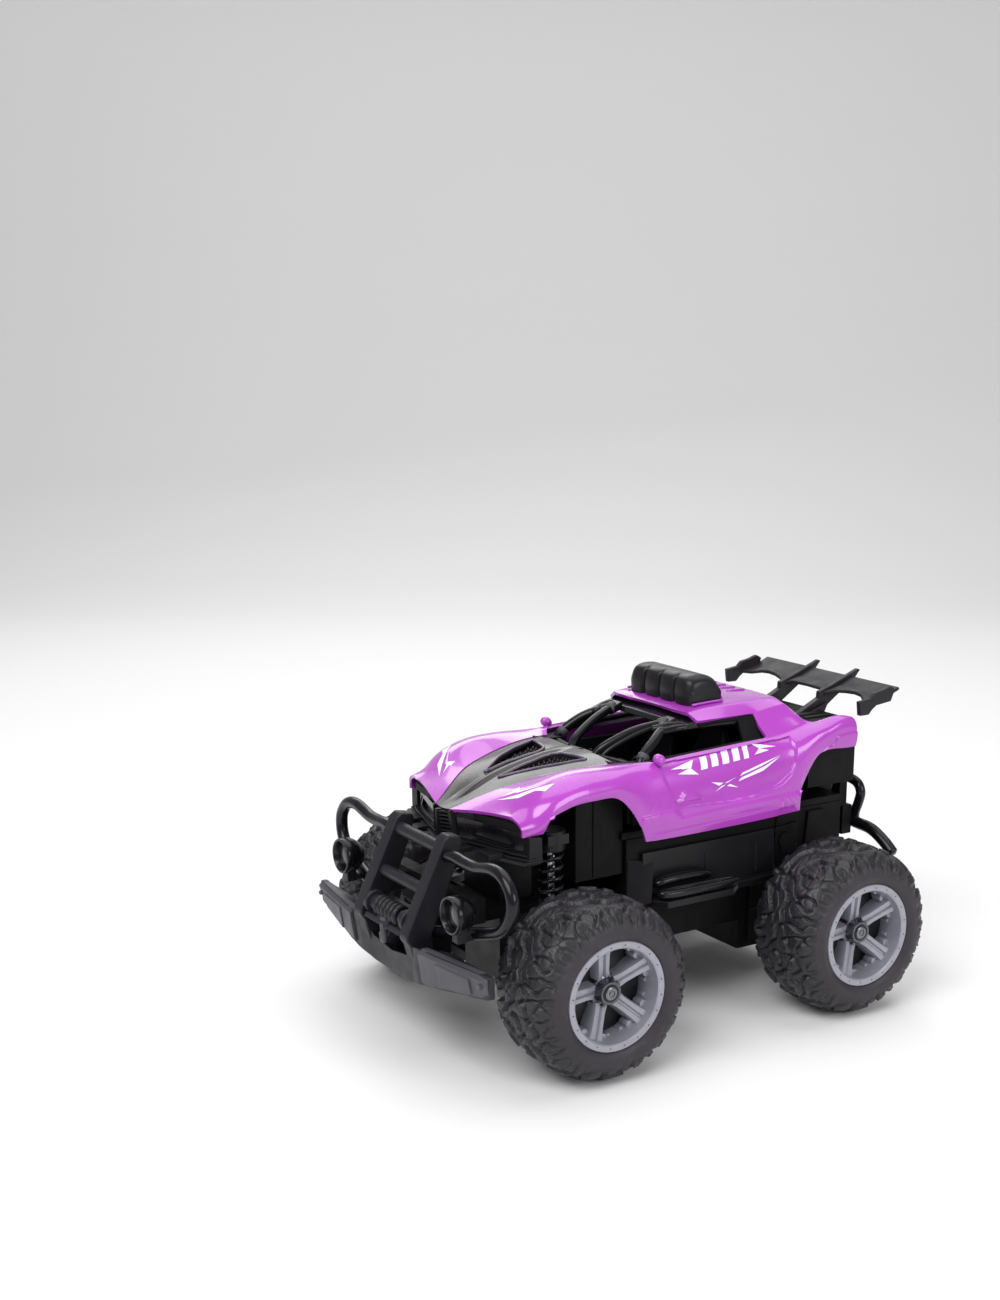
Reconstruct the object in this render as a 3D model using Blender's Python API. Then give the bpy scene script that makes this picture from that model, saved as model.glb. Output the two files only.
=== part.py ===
"""Radio-controlled off-road toy car, modelled as separate pieces.

Frame: front is -Y, the car's left is +X, up is +Z, the ground is z = 0 and
the origin lies on the ground midway between the axles. The dimensions below
are in millimetres; mesh() turns them into metres.
"""
import math

import bmesh
import bpy
from mathutils import Matrix, Vector

# ---------------------------------------------------------------- dimensions
MM = 0.001

WHEELBASE = 116.0
TRACK = 124.0
HOOP_R = 2.4
TYRE_R = 33.0
TYRE_W = 36.0
RIM_R = 20.0
SPOKE_PHASE = math.radians(102)
AXLE_Y = WHEELBASE / 2
HUB_X = TRACK / 2

KINGPIN_X = 36.0
KINGPIN_R = 1.5
STEER_ARM = 12.5
LEVER_ARM = 8.0
TIE_ROD_Y = -AXLE_Y + STEER_ARM
LEVER_Y = TIE_ROD_Y + LEVER_ARM

SHELL_T = 1.5
WALL = 1.6

GEAR_MODULE = 0.5
AXLE_TEETH = 36
IDLER_SMALL_TEETH = 12
IDLER_LARGE_TEETH = 28
PINION_TEETH = 10
MESH_PLAY = 0.1
BACKLASH = 0.2
MOTOR_YZ = (46.5, 29.0)
MOTOR_R = 10.0
MOTOR_FLAT = 15.0

DOOR_HINGE_YZ = (-32.2, 30.2)
BATTERY_R = 7.0
BATTERY_L = 50.0
BATTERY_PITCH = 14.6

# ------------------------------------------------------------------ materials
# name: (red, green, blue), roughness, metallic
LOOKS = {
    "body_purple": ((0.50, 0.06, 0.62), 0.18, 0.0),
    "gunmetal": ((0.045, 0.042, 0.050), 0.22, 0.4),
    "gloss_black": ((0.010, 0.010, 0.013), 0.12, 0.0),
    "satin_black": ((0.018, 0.018, 0.022), 0.38, 0.0),
    "matte_black": ((0.020, 0.020, 0.024), 0.60, 0.0),
    "dark_grey": ((0.060, 0.060, 0.075), 0.50, 0.0),
    "rubber": ((0.045, 0.038, 0.052), 0.75, 0.0),
    "rim_grey": ((0.28, 0.28, 0.33), 0.35, 0.3),
    "steel": ((0.60, 0.60, 0.62), 0.28, 1.0),
    "brass": ((0.70, 0.48, 0.18), 0.30, 1.0),
    "white_nylon": ((0.80, 0.79, 0.75), 0.45, 0.0),
    "red_plastic": ((0.60, 0.02, 0.02), 0.35, 0.0),
    "circuit_green": ((0.02, 0.20, 0.07), 0.40, 0.0),
    "cell_blue": ((0.05, 0.15, 0.45), 0.30, 0.2),
}


def material(node, look):
    colour, roughness, metallic = LOOKS[look]
    made = bpy.data.materials.new(node + "_" + look)
    made.use_nodes = True
    shader = made.node_tree.nodes["Principled BSDF"]
    shader.inputs["Base Color"].default_value = (*colour, 1.0)
    shader.inputs["Roughness"].default_value = roughness
    shader.inputs["Metallic"].default_value = metallic
    made.diffuse_color = (*colour, 1.0)
    return made


# -------------------------------------------------------------------- solids
# A solid is a pair (points in millimetres, faces as point indices).
def box(low, high):
    (x0, y0, z0), (x1, y1, z1) = low, high
    points = [(x, y, z) for z in (z0, z1) for y in (y0, y1) for x in (x0, x1)]
    faces = [(0, 2, 3, 1), (4, 5, 7, 6), (0, 1, 5, 4), (2, 6, 7, 3), (0, 4, 6, 2), (1, 3, 7, 5)]
    return points, faces


def prism(outline, axis, start, end):
    """Extrude a 2-D outline along X, Y or Z; outline is in the other two axes."""
    def place(a, b, t):
        return {"x": (t, a, b), "y": (a, t, b), "z": (a, b, t)}[axis]
    count = len(outline)
    points = [place(a, b, start) for a, b in outline] + [place(a, b, end) for a, b in outline]
    faces = [tuple(range(count)), tuple(range(2 * count - 1, count - 1, -1))]
    for i in range(count):
        j = (i + 1) % count
        faces.append((i, i + count, j + count, j))
    return points, faces


def turned(profile, axis, centre, segments=24, ring=False, phase=0.0):
    """Turn (along, radius) points round an axis; a ring profile closes on itself."""
    cx, cy, cz = centre
    points, rows = [], []
    for along, radius in profile:
        if radius < 1e-6:
            rows.append([len(points)] * segments)
            points.append((along, 0.0, 0.0))
        else:
            rows.append(list(range(len(points), len(points) + segments)))
            for k in range(segments):
                angle = phase + 2 * math.pi * k / segments
                points.append((along, radius * math.cos(angle), radius * math.sin(angle)))
    pairs = list(zip(rows, rows[1:]))
    if ring:
        pairs.append((rows[-1], rows[0]))
    faces = []
    for lower, upper in pairs:
        for k in range(segments):
            m = (k + 1) % segments
            corners = [lower[k], lower[m], upper[m], upper[k]]
            face = [c for i, c in enumerate(corners) if c not in corners[:i]]
            if len(face) > 2:
                faces.append(tuple(face))
    if not ring:
        for row, turn in ((rows[0], -1), (rows[-1], 1)):
            if row[0] != row[1]:
                faces.append(tuple(row[::turn]))
    put = {"x": lambda a, b, c: (cx + a, cy + b, cz + c),
           "y": lambda a, b, c: (cx + b, cy + a, cz + c),
           "z": lambda a, b, c: (cx + b, cy + c, cz + a)}[axis]
    return [put(*p) for p in points], faces


def rod(axis, centre, radius, start, end, segments=16):
    """Plain round bar along an axis through centre, from start to end."""
    place = {"x": (0.0, centre[1], centre[2]),
             "y": (centre[0], 0.0, centre[2]),
             "z": (centre[0], centre[1], 0.0)}[axis]
    return turned([(start, 0.0), (start, radius), (end, radius), (end, 0.0)], axis, place, segments)


def smooth_path(route, steps=4, closed=False):
    """Catmull-Rom curve through the route's points."""
    count = len(route)
    knots = [Vector(p) for p in route]
    spans = count if closed else count - 1
    path = []
    for i in range(spans):
        if closed:
            p0, p1, p2, p3 = (knots[(i + k) % count] for k in (-1, 0, 1, 2))
        else:
            p1, p2 = knots[i], knots[i + 1]
            p0 = knots[i - 1] if i else 2 * p1 - p2
            p3 = knots[i + 2] if i + 2 < count else 2 * p2 - p1
        for s in range(steps):
            t = s / steps
            path.append(0.5 * ((2 * p1) + (p2 - p0) * t + (2 * p0 - 5 * p1 + 4 * p2 - p3) * t * t
                               + (3 * p1 - p0 - 3 * p2 + p3) * t ** 3))
    if not closed:
        path.append(knots[-1])
    return path


def tube(route, radius, sides=8, steps=4, closed=False):
    """Round tube along a smooth curve through the route's points."""
    path = smooth_path(route, steps, closed)
    count = len(path)
    points, rings = [], []
    normal = None
    for i, here in enumerate(path):
        if closed:
            ahead = (path[(i + 1) % count] - path[i - 1]).normalized()
        else:
            ahead = (path[min(i + 1, count - 1)] - path[max(i - 1, 0)]).normalized()
        if normal is None:
            helper = Vector((0, 0, 1)) if abs(ahead.z) < 0.9 else Vector((0, 1, 0))
            normal = ahead.cross(helper).normalized()
        else:
            normal = (normal - ahead * normal.dot(ahead)).normalized()
        side = ahead.cross(normal)
        rings.append(range(len(points), len(points) + sides))
        for k in range(sides):
            angle = 2 * math.pi * k / sides
            points.append(tuple(here + radius * (math.cos(angle) * normal + math.sin(angle) * side)))
    faces = []
    spans = count if closed else count - 1
    for i in range(spans):
        lower, upper = rings[i], rings[(i + 1) % count]
        for k in range(sides):
            m = (k + 1) % sides
            faces.append((lower[k], lower[m], upper[m], upper[k]))
    if not closed:
        faces.append(tuple(reversed(rings[0])))
        faces.append(tuple(rings[-1]))
    return points, faces


def gear_outline(teeth, phase):
    """Involute-like tooth outline with a little backlash."""
    pressure = math.radians(20)
    pitch_r = GEAR_MODULE * teeth / 2
    base_r = pitch_r * math.cos(pressure)
    root_r = pitch_r - 1.25 * GEAR_MODULE
    tip_r = pitch_r + 0.9 * GEAR_MODULE
    half_pitch = math.pi / (2 * teeth) - BACKLASH / (2 * pitch_r)

    def involute(angle):
        return math.tan(angle) - angle

    def half_width(radius):
        grown = half_pitch + involute(pressure)
        return grown if radius <= base_r else grown - involute(math.acos(base_r / radius))

    radii = (root_r, tip_r)
    outline = []
    for k in range(teeth):
        centre = phase + 2 * math.pi * k / teeth
        flank = [(r, centre - half_width(r)) for r in radii]
        flank += [(r, centre + half_width(r)) for r in reversed(radii)]
        outline += [(r * math.cos(a), r * math.sin(a)) for r, a in flank]
    return outline


def gear(teeth, yz, start, end, phase):
    outline = [(yz[0] + a, yz[1] + b) for a, b in gear_outline(teeth, phase)]
    return prism(outline, "x", start, end)


def sections(rows):
    """Closed loft through equal-length rings of points, capped at both ends."""
    count = len(rows[0])
    points = [p for row in rows for p in row]
    faces = [tuple(range(count - 1, -1, -1)), tuple(range(len(points) - count, len(points)))]
    for i in range(len(rows) - 1):
        for k in range(count):
            m = (k + 1) % count
            faces.append((i * count + k, i * count + m, (i + 1) * count + m, (i + 1) * count + k))
    return points, faces


def mirrored(solid):
    points, faces = solid
    return [(-x, y, z) for x, y, z in points], [tuple(reversed(f)) for f in faces]


def both(*solids):
    """Each solid and its mirror image in the car's centre plane."""
    return [s for solid in solids for s in (solid, mirrored(solid))]


# ------------------------------------------------------------------- objects
def mesh(name, solid, outward=True):
    points, faces = solid
    made = bpy.data.meshes.new(name)
    made.from_pydata([(x * MM, y * MM, z * MM) for x, y, z in points], [], faces)
    work = bmesh.new()
    work.from_mesh(made)
    if outward:
        bmesh.ops.recalc_face_normals(work, faces=work.faces)
        if work.calc_volume(signed=True) < 0:
            bmesh.ops.reverse_faces(work, faces=work.faces)
    work.to_mesh(made)
    work.free()
    made.shade_smooth()
    made.set_sharp_from_angle(angle=math.radians(35))
    return made


def place_origin(item, origin):
    """Move an object's origin onto its joint axis without moving its shape."""
    offset = Vector(origin) * MM
    item.data.transform(Matrix.Translation(-offset))
    item.location = item.location + offset


def make(node, look, solids, cuts=(), added=(), later_cuts=(), origin=None):
    """One named piece: the union of solids, less the cuts, plus what is added after."""
    item = bpy.data.objects.new(node, mesh(node, solids[0]))
    bpy.context.collection.objects.link(item)
    item.data.materials.append(material(node, look))
    if origin:
        place_origin(item, origin)
    stages = (("join", "UNION", solids[1:]), ("cut", "DIFFERENCE", cuts), ("add", "UNION", added),
              ("bore", "DIFFERENCE", later_cuts))
    for stage, operation, group in stages:
        for number, solid in enumerate(group):
            label = f"{node}_{stage}_{number}"
            tool = bpy.data.objects.new(label, mesh(label, solid))
            bpy.context.collection.objects.link(tool)
            tool.hide_render = True
            tool.display_type = "WIRE"
            step = item.modifiers.new(label, "BOOLEAN")
            step.operation = operation
            step.object = tool
    return item


def copy_at(item, node, location, turn_z=0.0):
    """Another piece that shares item's mesh, placed somewhere else."""
    twin = bpy.data.objects.new(node, item.data)
    bpy.context.collection.objects.link(twin)
    twin.location = Vector(location) * MM
    twin.rotation_euler = (0.0, 0.0, turn_z)
    for step in item.modifiers:
        same = twin.modifiers.new(step.name, step.type)
        same.operation = step.operation
        tool = bpy.data.objects.new(f"{node}_{step.name}", step.object.data)
        bpy.context.collection.objects.link(tool)
        tool.location = twin.location
        tool.rotation_euler = twin.rotation_euler
        tool.hide_render = True
        tool.display_type = "WIRE"
        same.object = tool
    return twin


def skin(node, look, points, faces, thickness):
    """A thin moulding: an outer surface, thickened inwards."""
    made = bpy.data.meshes.new(node)
    made.from_pydata([(x * MM, y * MM, z * MM) for x, y, z in points], [], faces)
    work = bmesh.new()
    work.from_mesh(made)
    bmesh.ops.recalc_face_normals(work, faces=work.faces)
    if sum(face.normal.z for face in work.faces) < 0:
        bmesh.ops.reverse_faces(work, faces=work.faces)
    work.to_mesh(made)
    work.free()
    made.shade_smooth()
    item = bpy.data.objects.new(node, made)
    bpy.context.collection.objects.link(item)
    made.materials.append(material(node, look))
    wall = item.modifiers.new("wall", "SOLIDIFY")
    wall.thickness = thickness * MM
    wall.offset = -1.0
    wall.use_even_offset = False
    return item


# ----------------------------------------------------------------- body skin
# Half outlines across the car, from the bonnet insert's edge out and down.
FRONT_ROWS = [
    [(5.5, -82.0, 86.9), (16, -79.2, 88.6), (27, -76.0, 89.6), (35, -73.8, 90.0), (39.5, -72.6, 88.5),
     (41.5, -71.8, 87.0), (42, -71.4, 85.6), (42, -71.2, 84.4), (41.6, -71.2, 83.2)],
    [(12.9, -70, 92.9), (20, -70, 93.1), (28, -69.5, 93.0), (35, -69, 92.2), (40.3, -68.3, 90.2),
     (42.3, -67.8, 88.0), (42.9, -67.6, 86.4), (42.9, -67.5, 85.0), (42.5, -67.4, 83.6)],
    [(17.3, -62, 95.9), (24, -62, 97.0), (31, -62, 97.6), (37, -62, 96.6), (41.4, -62, 93.8),
     (43.2, -62, 90.6), (43.7, -62, 88.2), (43.6, -62, 86.2), (43.2, -62, 84.3)],
    [(20.0, -52, 98.5), (26, -52, 100.3), (32, -52, 101.6), (38, -52, 100.6), (42.2, -52, 97.6),
     (43.9, -52, 94.2), (44.2, -52, 91.6), (44.1, -52, 89.5), (43.6, -52, 87.6)],
    [(23.0, -42, 100.0), (28, -42, 101.6), (33, -42, 102.6), (38.2, -42, 101.8), (42.0, -42, 99.2),
     (43.7, -42, 96.6), (44.0, -42, 94.4), (43.9, -42, 92.6), (43.5, -42, 91.0)],
    [(25.6, -33, 100.8), (30, -33, 101.9), (34, -33, 102.4), (38.2, -33, 101.8), (41.8, -33, 99.4),
     (43.4, -33, 97.2), (43.8, -33, 95.4), (43.7, -33, 93.9), (43.3, -33, 92.4)],
    [(27.5, -24.5, 100.9), (31, -24, 101.6), (34.5, -23.5, 102.0), (37.6, -23.5, 101.4),
     (41.0, -24, 98.4), (42.9, -24.3, 94.6), (43.6, -24.6, 91.0), (43.9, -24.8, 87.6),
     (43.6, -25.4, 84.4)],
    [(28.4, -18.5, 100.4), (32, -16.5, 101.2), (35, -14.5, 101.9), (37, -13.5, 101.9),
     (40.9, -15, 98.4), (42.9, -16.5, 93.6), (43.8, -18, 88.2), (44.4, -19.4, 81.4),
     (43.7, -20.8, 73.4)],
]
# Door and rear quarter, from the window sill out and down.
SIDE_ROWS = [
    [(36.8, -4, 102.6), (41.1, -4, 98.8), (43.2, -4, 93.2), (44.0, -4, 87.4), (44.6, -4, 81.6),
     (43.8, -4, 73.2)],
    [(36.7, 10, 103.2), (41.0, 10, 99.2), (43.2, 10, 93.6), (44.0, 10, 87.6), (44.6, 10, 81.6),
     (43.8, 10, 73.2)],
    [(36.6, 25, 103.9), (40.9, 25, 99.8), (43.1, 25, 94.2), (44.0, 25, 88.0), (44.6, 25, 81.6),
     (43.8, 25, 73.2)],
    [(36.5, 39.5, 104.6), (40.8, 39.5, 100.6), (43.0, 39.5, 95.4), (43.8, 39.5, 89.0),
     (44.5, 39.5, 81.8), (43.8, 39.5, 73.2)],
    [(36.4, 50, 105.3), (40.8, 50, 102.0), (43.0, 49, 97.6), (43.8, 48.8, 91.8),
     (44.5, 49.6, 83.0), (43.8, 51.4, 73.8)],
    [(36.6, 58, 107.0), (41.0, 57, 104.8), (43.2, 56, 101.6), (43.9, 54.6, 97.2),
     (44.0, 53.4, 91.0), (43.6, 52.6, 83.6)],
    [(37.4, 62, 107.9), (41.4, 61.6, 106.4), (43.3, 61, 104.2), (43.9, 60, 101.0),
     (43.9, 58.6, 97.0), (43.4, 57.0, 92.0)],
    [(38.2, 66.5, 108.7), (41.8, 66.5, 107.4), (43.5, 66, 105.4), (43.9, 65.4, 103.0),
     (43.8, 64.6, 100.2), (43.3, 63.4, 97.6)],
    [(40.0, 73, 110.0), (42.6, 73, 109.0), (43.8, 73, 106.8), (44.0, 73, 103.8),
     (43.8, 73, 100.6), (43.2, 73, 97.6)],
    [(41.2, 79, 109.0), (43.0, 79.4, 107.8), (43.9, 79.6, 105.6), (44.0, 79.7, 103.0),
     (43.8, 79.7, 100.4), (43.2, 79.6, 97.6)],
]
# Roof and rear slope, from the centre line out to the pillar.
ROOF_ROWS = [
    [(0, 11.8, 115.0), (14, 11.2, 115.0), (24.5, 10.8, 115.3), (29.0, 12.2, 112.9)],
    [(0, 20, 117.2), (14, 20, 117.1), (24.5, 20, 116.4), (29.0, 21, 112.8)],
    [(0, 38.6, 117.8), (14, 38.6, 117.7), (24.5, 38.6, 116.7), (28.8, 38.8, 112.6),
     (32.6, 39.2, 108.6)],
    [(0, 46, 117.6), (14, 46, 117.5), (24.7, 46, 116.9), (29.4, 46.2, 114.2), (33.0, 48, 110.0)],
    [(0, 53, 117.2), (14, 53, 117.2), (25, 52.8, 116.9), (30.4, 53.4, 115.0), (34.0, 56, 110.8)],
    [(0, 60, 111.8), (13, 60, 111.8), (23.5, 60, 111.7), (29.5, 60.3, 110.4), (33.8, 61, 108.4)],
    [(0, 66.4, 105.6), (12, 66.4, 105.6), (22.5, 66.4, 105.4), (30, 66.4, 104.6),
     (34.2, 66.4, 106.8)],
    [None, None, None, (30, 73, 103.8), (36, 73, 108.2)],
    [None, None, None, (30.4, 79, 103.2), (37.2, 79, 107.2)],
]
FIRST_PILLAR_ROW = 2
LAST_DECK_ROW = 6
FIRST_SIDE_ROW_AT_PILLAR = 3


def build_body_shell():
    """Fenders, doors, rear quarters, roof and pillars as one moulding."""
    points, faces, index = [], [], {}

    def vertex(point, side):
        key = (round(point[0] * side, 3) + 0.0, point[1], point[2])
        if key not in index:
            index[key] = len(points)
            points.append(key)
        return index[key]

    def patch(rows, side):
        for upper, lower in zip(rows, rows[1:]):
            for k in range(len(upper) - 1):
                corners = (upper[k], upper[k + 1], lower[k + 1], lower[k])
                if None in corners:
                    continue
                face = [vertex(c, side) for c in corners]
                faces.append(tuple(face[::-1]) if side > 0 else tuple(face))

    sill_join = [row[3:] for row in FRONT_ROWS[-1:]] + SIDE_ROWS
    for side in (1, -1):
        patch(FRONT_ROWS, side)
        patch(sill_join, side)
        patch([row[:4] for row in ROOF_ROWS[:LAST_DECK_ROW + 1]], side)
        outer = []
        for number, row in enumerate(ROOF_ROWS[FIRST_PILLAR_ROW:]):
            sill = SIDE_ROWS[FIRST_SIDE_ROW_AT_PILLAR + number][0]
            outer.append([row[3], row[4], sill])
        patch(outer, side)
    return skin("body_shell", "body_purple", points, faces, SHELL_T)


BONNET_ROWS = [
    [(0, -82.3, 86.6), (2.4, -82.2, 86.7), (4.4, -81.8, 86.9)],
    [(0, -78, 88.3), (4.0, -78, 88.6), (7.6, -77.6, 89.0)],
    [(0, -70, 91.8), (6.2, -70, 92.2), (11.9, -70, 92.5)],
    [(0, -62, 95.3), (8.6, -62, 95.7), (16.2, -62, 95.5)],
    [(0, -52, 98.2), (10.4, -52, 98.7), (18.9, -52, 98.2)],
    [(0, -42, 100.2), (12, -42, 100.6), (21.9, -42, 99.6)],
    [(0, -33, 101.7), (13, -33, 101.9), (24.5, -33, 100.5)],
    [(0, -26.5, 102.4), (14, -25.5, 102.4), (26.4, -24.4, 100.6)],
]


def build_hood_panel():
    points, faces = [], []
    for row in BONNET_ROWS:
        points += [(-x, y, z) for x, y, z in reversed(row[1:])] + row
    width = 2 * len(BONNET_ROWS[0]) - 1
    for r in range(len(BONNET_ROWS) - 1):
        for k in range(width - 1):
            a = r * width + k
            faces.append((a, a + 1, a + width + 1, a + width)[::-1])
    return skin("hood_panel", "gunmetal", points, faces, SHELL_T)


def build_grille():
    """Black nose panel under the bonnet's front edge, with lamp recesses and lip."""
    top, low = 84.8, 76.5
    nose = [(0, -82.5), (8, -80.4), (34.5, -72.6), (40.5, -69.5), (40.5, -66), (0, -66)]
    block = prism(nose[:4] + [(40.5, -67), (20, -69), (0, -71)], "z", low, top - 2.2)
    upper = prism([(0, -79.6), (8, -77.6), (32, -70.8), (36, -68.8), (30, -67), (0, -70)],
                  "z", low + 1, top)
    lip = prism([(0, -84.5), (9, -82.6), (36, -74.8), (44, -71.6), (44, -67.6), (20, -70), (0, -72)],
                "z", 75.2, 77.6)
    bracket = box((39.4, -71.6, 74.6), (43.8, -66.2, 80.6))
    lamp = prism([(11, -81.5), (32, -75.5), (32, -71.6), (11, -77.6)], "z", 78.6, 81.8)
    slot = [box((-6.5, -84, z), (6.5, -79.2, z + 0.8)) for z in (78.4, 80.4)]
    return make("grille", "satin_black", both(block, upper, lip, bracket), both(lamp) + slot)


def build_roll_cage():
    """Windscreen bars, header and window frames as one black moulding."""
    junction = (17.8, 5.6, 111.0)
    foot = tube([(30.0, -13.5, 97.6), (20, -17.5, 98.6), (8, -20.5, 99.2), (0, -21, 99.4)], 1.6, 6, 1)
    outer = tube([(28.6, -14.6, 97.6), (27.2, -11.5, 101.8), (24.2, -3.5, 107.2), junction], 1.9, 6, 2)
    inner = tube([(8.2, -20.4, 99.6), (9.8, -16.5, 103.2), (13.2, -6, 108.2), junction], 1.6, 6, 2)
    brace = tube([junction, (19.4, 9, 111.2), (22.0, 13.5, 110.6)], 2.0, 6, 1)
    header = tube([(26.6, 13.6, 110.4), (12, 13.2, 110.8), (0, 13, 110.9)], 2.0, 6, 1)
    rail = tube([(22.5, -0.5, 108.9), (25.4, 8, 110.2), (26.2, 20, 110.2), (26.6, 34, 109.8),
                 (30.4, 41, 105.6), (32.4, 43.4, 100.2)], 1.7, 6, 2)
    return make("roll_cage", "gloss_black", both(outer, inner, foot, brace, header, rail))


def build_cockpit_tub():
    """Dashboard, floor, seats and bulkhead seen through the open windows."""
    floor = box((-33, -20, 77.2), (33, 52, 79))
    sides = both(box((31.4, -20, 78), (33, 52, 96)))
    dash = prism([(-22, 78), (-22, 95.2), (-16, 95.6), (-9, 92), (-10, 78)], "x", -32, 32)
    bulkhead = box((-32.4, 45, 78), (32.4, 52, 98.4))
    seat = prism([(8, 78), (8, 84), (22, 83), (28, 101), (33, 101), (30, 78)], "x", 6, 26)
    rest = prism([(27.6, 98), (28.6, 106.4), (33, 106.4), (33.4, 98)], "x", 10.5, 21.5)
    wheel_seat = turned([(-0.8, 3.6), (-0.8, 5.6), (0.8, 5.6), (0.8, 3.6)], "y", (16, -5.5, 93.5), 16, True)
    hub = rod("y", (16, 0, 93.5), 1.4, -12, -4.8, 8)
    bar = box((11.6, -6.2, 92.8), (20.4, -4.9, 94.2))
    return make("cockpit_tub", "matte_black",
                [floor] + sides + [dash, bulkhead] + both(seat, rest) + [hub, bar, wheel_seat])


def build_roof_lamp_pod():
    """Four lamp lobes in a row with a common tapering back."""
    solids = [box((-19, 16.4, 118.1), (19, 26, 120.4))]
    for k in range(4):
        x = (k - 1.5) * 9.7
        rows = []
        for y, half, top in ((14.6, 4.0, 124.4), (15.8, 4.8, 127.0), (19.0, 5.0, 128.0),
                             (24.6, 5.0, 127.0), (28.2, 4.6, 122.6)):
            low = 118.3
            shoulder = top - (top - low) * 0.28
            rows.append([(x - half, y, low), (x - half, y, shoulder), (x - half * 0.6, y, top),
                         (x + half * 0.6, y, top), (x + half, y, shoulder), (x + half, y, low)])
        solids.append(sections(rows))
    return make("roof_lamp_pod", "satin_black", solids)


def build_rear_wing():
    """Base plate, two struts, blade, two fins and two end plates."""
    base = box((-28.2, 68.4, 104.0), (28.2, 87.4, 105.7))
    blade = prism([(86.4, 111.4), (90, 110.8), (98, 113.4), (104.6, 116.8), (104.0, 118.0),
                   (97, 115.4), (90, 112.8), (86.4, 112.8)], "x", -41, 41)
    plate = prism([(82.0, 107.8), (88.6, 108.2), (100.4, 113.8), (101.6, 119.6), (94.6, 117.4),
                   (89, 113.6), (83, 111.6)], "x", 40.2, 42.6)
    fin = prism([(87, 111.2), (96, 113), (105.0, 116.2), (109.0, 121.0), (101, 118.2), (93, 115.0),
                 (87, 113.2)], "x", 10.9, 13.7)
    strut = prism([(76, 104.9), (86.6, 104.9), (100, 114.2), (91, 112.4)], "x", 10.6, 14)
    return make("rear_wing", "matte_black", [base, blade] + both(plate, fin, strut))


# ------------------------------------------------------------------- chassis
def build_chassis_tub():
    """Battery bay, decks and side walls: the moulding everything bolts to."""
    bay = box((-33, -30.5, 31.2), (33, 34, 49.4))
    floor = box((-36, -25, 49), (36, 80, 52))
    nose_deck = box((-22, -88, 48), (22, -24, 51.4))
    walls = both(box((34.4, -25, 51), (36, 80, 73.6)))
    ends = [box((-35.4, -25, 51), (35.4, -23.4, 73.6)), box((-35.4, 78.4, 51), (35.4, 80, 73.6))]
    lug = box((23.8, -33.9, 28.8), (27, -29.6, 34))
    front_box = box((-30, -88, 50.6), (30, -82, 60))
    cell_bay = box((-26.4, -29.2, 20), (26.4, 29.2, 47))
    frame_gap = box((-14.6, -66.8, 40), (14.6, -51.2, 60))
    hinge_hole = rod("x", (0, *DOOR_HINGE_YZ), 1.25, 20, 30, 12)
    return make("chassis_tub", "matte_black",
                [bay, floor, nose_deck, front_box] + walls + ends + both(lug),
                [cell_bay, frame_gap] + both(hinge_hole))


def build_chassis_cover():
    """Lid of the tub with inner fenders in front and the tail carrier behind."""
    lid = box((-36, -27, 73.9), (36, 80, 76.4))
    inner_fender = box((-34, -46, 60.4), (34, -25.4, 95.4))
    hollow = box((-32.2, -44.2, 40), (32.2, -27.2, 93.6))
    tail = box((-38.5, 60, 82), (38.5, 84, 99))
    tail_hollow = box((-36.7, 61.8, 83.8), (36.7, 82.2, 120))
    tower = box((-21, 80.4, 50), (21, 88, 102.6))
    post = box((-34, 56, 76), (34, 61, 99))
    post_hollow = box((-32, 50, 78), (32, 60.4, 97))
    return make("chassis_cover", "matte_black", [lid, inner_fender, tail, tower, post],
                [hollow, tail_hollow, post_hollow])


def build_suspension_frame():
    """Front frame: centre column, servo shelf and the arms that hold the kingpins."""
    column = box((-13, -66, 17.6), (13, -52, 81))
    shelf = box((-15, -60, 17.6), (15, -35, 21.4))
    lower = box((-41, -62.4, 17), (41, -53.6, 20.6))
    upper = box((-41, -62.4, 78.4), (41, -53.6, 82))
    braces = both(prism([(12, 78.8), (12, 66), (15, 66), (27, 78.8)], "y", -60, -56),
                  prism([(12, 20.2), (12, 32), (15, 32), (27, 20.2)], "y", -60, -56))
    holes = both(rod("z", (KINGPIN_X, -AXLE_Y, 0), KINGPIN_R + 0.3, 10, 90))
    return make("front_suspension_frame", "satin_black", [column, shelf, lower, upper] + braces, holes)


def build_kingpins():
    profile = [(14.9, 0), (14.9, 2.2), (15.6, 2.8), (16.7, 2.8), (16.7, KINGPIN_R), (81.6, KINGPIN_R),
               (81.6, 0)]
    left = make("kingpin_l", "steel", [turned(profile, "z", (0, 0, 0), 16)])
    left.location = Vector((KINGPIN_X, -AXLE_Y, 0)) * MM
    copy_at(left, "kingpin_r", (-KINGPIN_X, -AXLE_Y, 0))


def build_bushes():
    """Sliding bush on each kingpin: carries the knuckle, and the spring on its flange."""
    inner, outer, flange = KINGPIN_R + 0.3, 3.1, 5.4
    profile = [(25.2, inner), (25.2, outer), (46.9, outer), (46.9, flange), (48.3, flange),
               (48.3, inner)]
    left = make("slider_bush_l", "white_nylon", [turned(profile, "z", (0, 0, 0), 16, True)])
    left.location = Vector((KINGPIN_X, -AXLE_Y, 0)) * MM
    copy_at(left, "slider_bush_r", (-KINGPIN_X, -AXLE_Y, 0))


SPRING_LOW, SPRING_HIGH = 49.4, 77.3
SPRING_TURNS = 6.5
SPRING_R, WIRE_R = 3.7, 0.7


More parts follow.
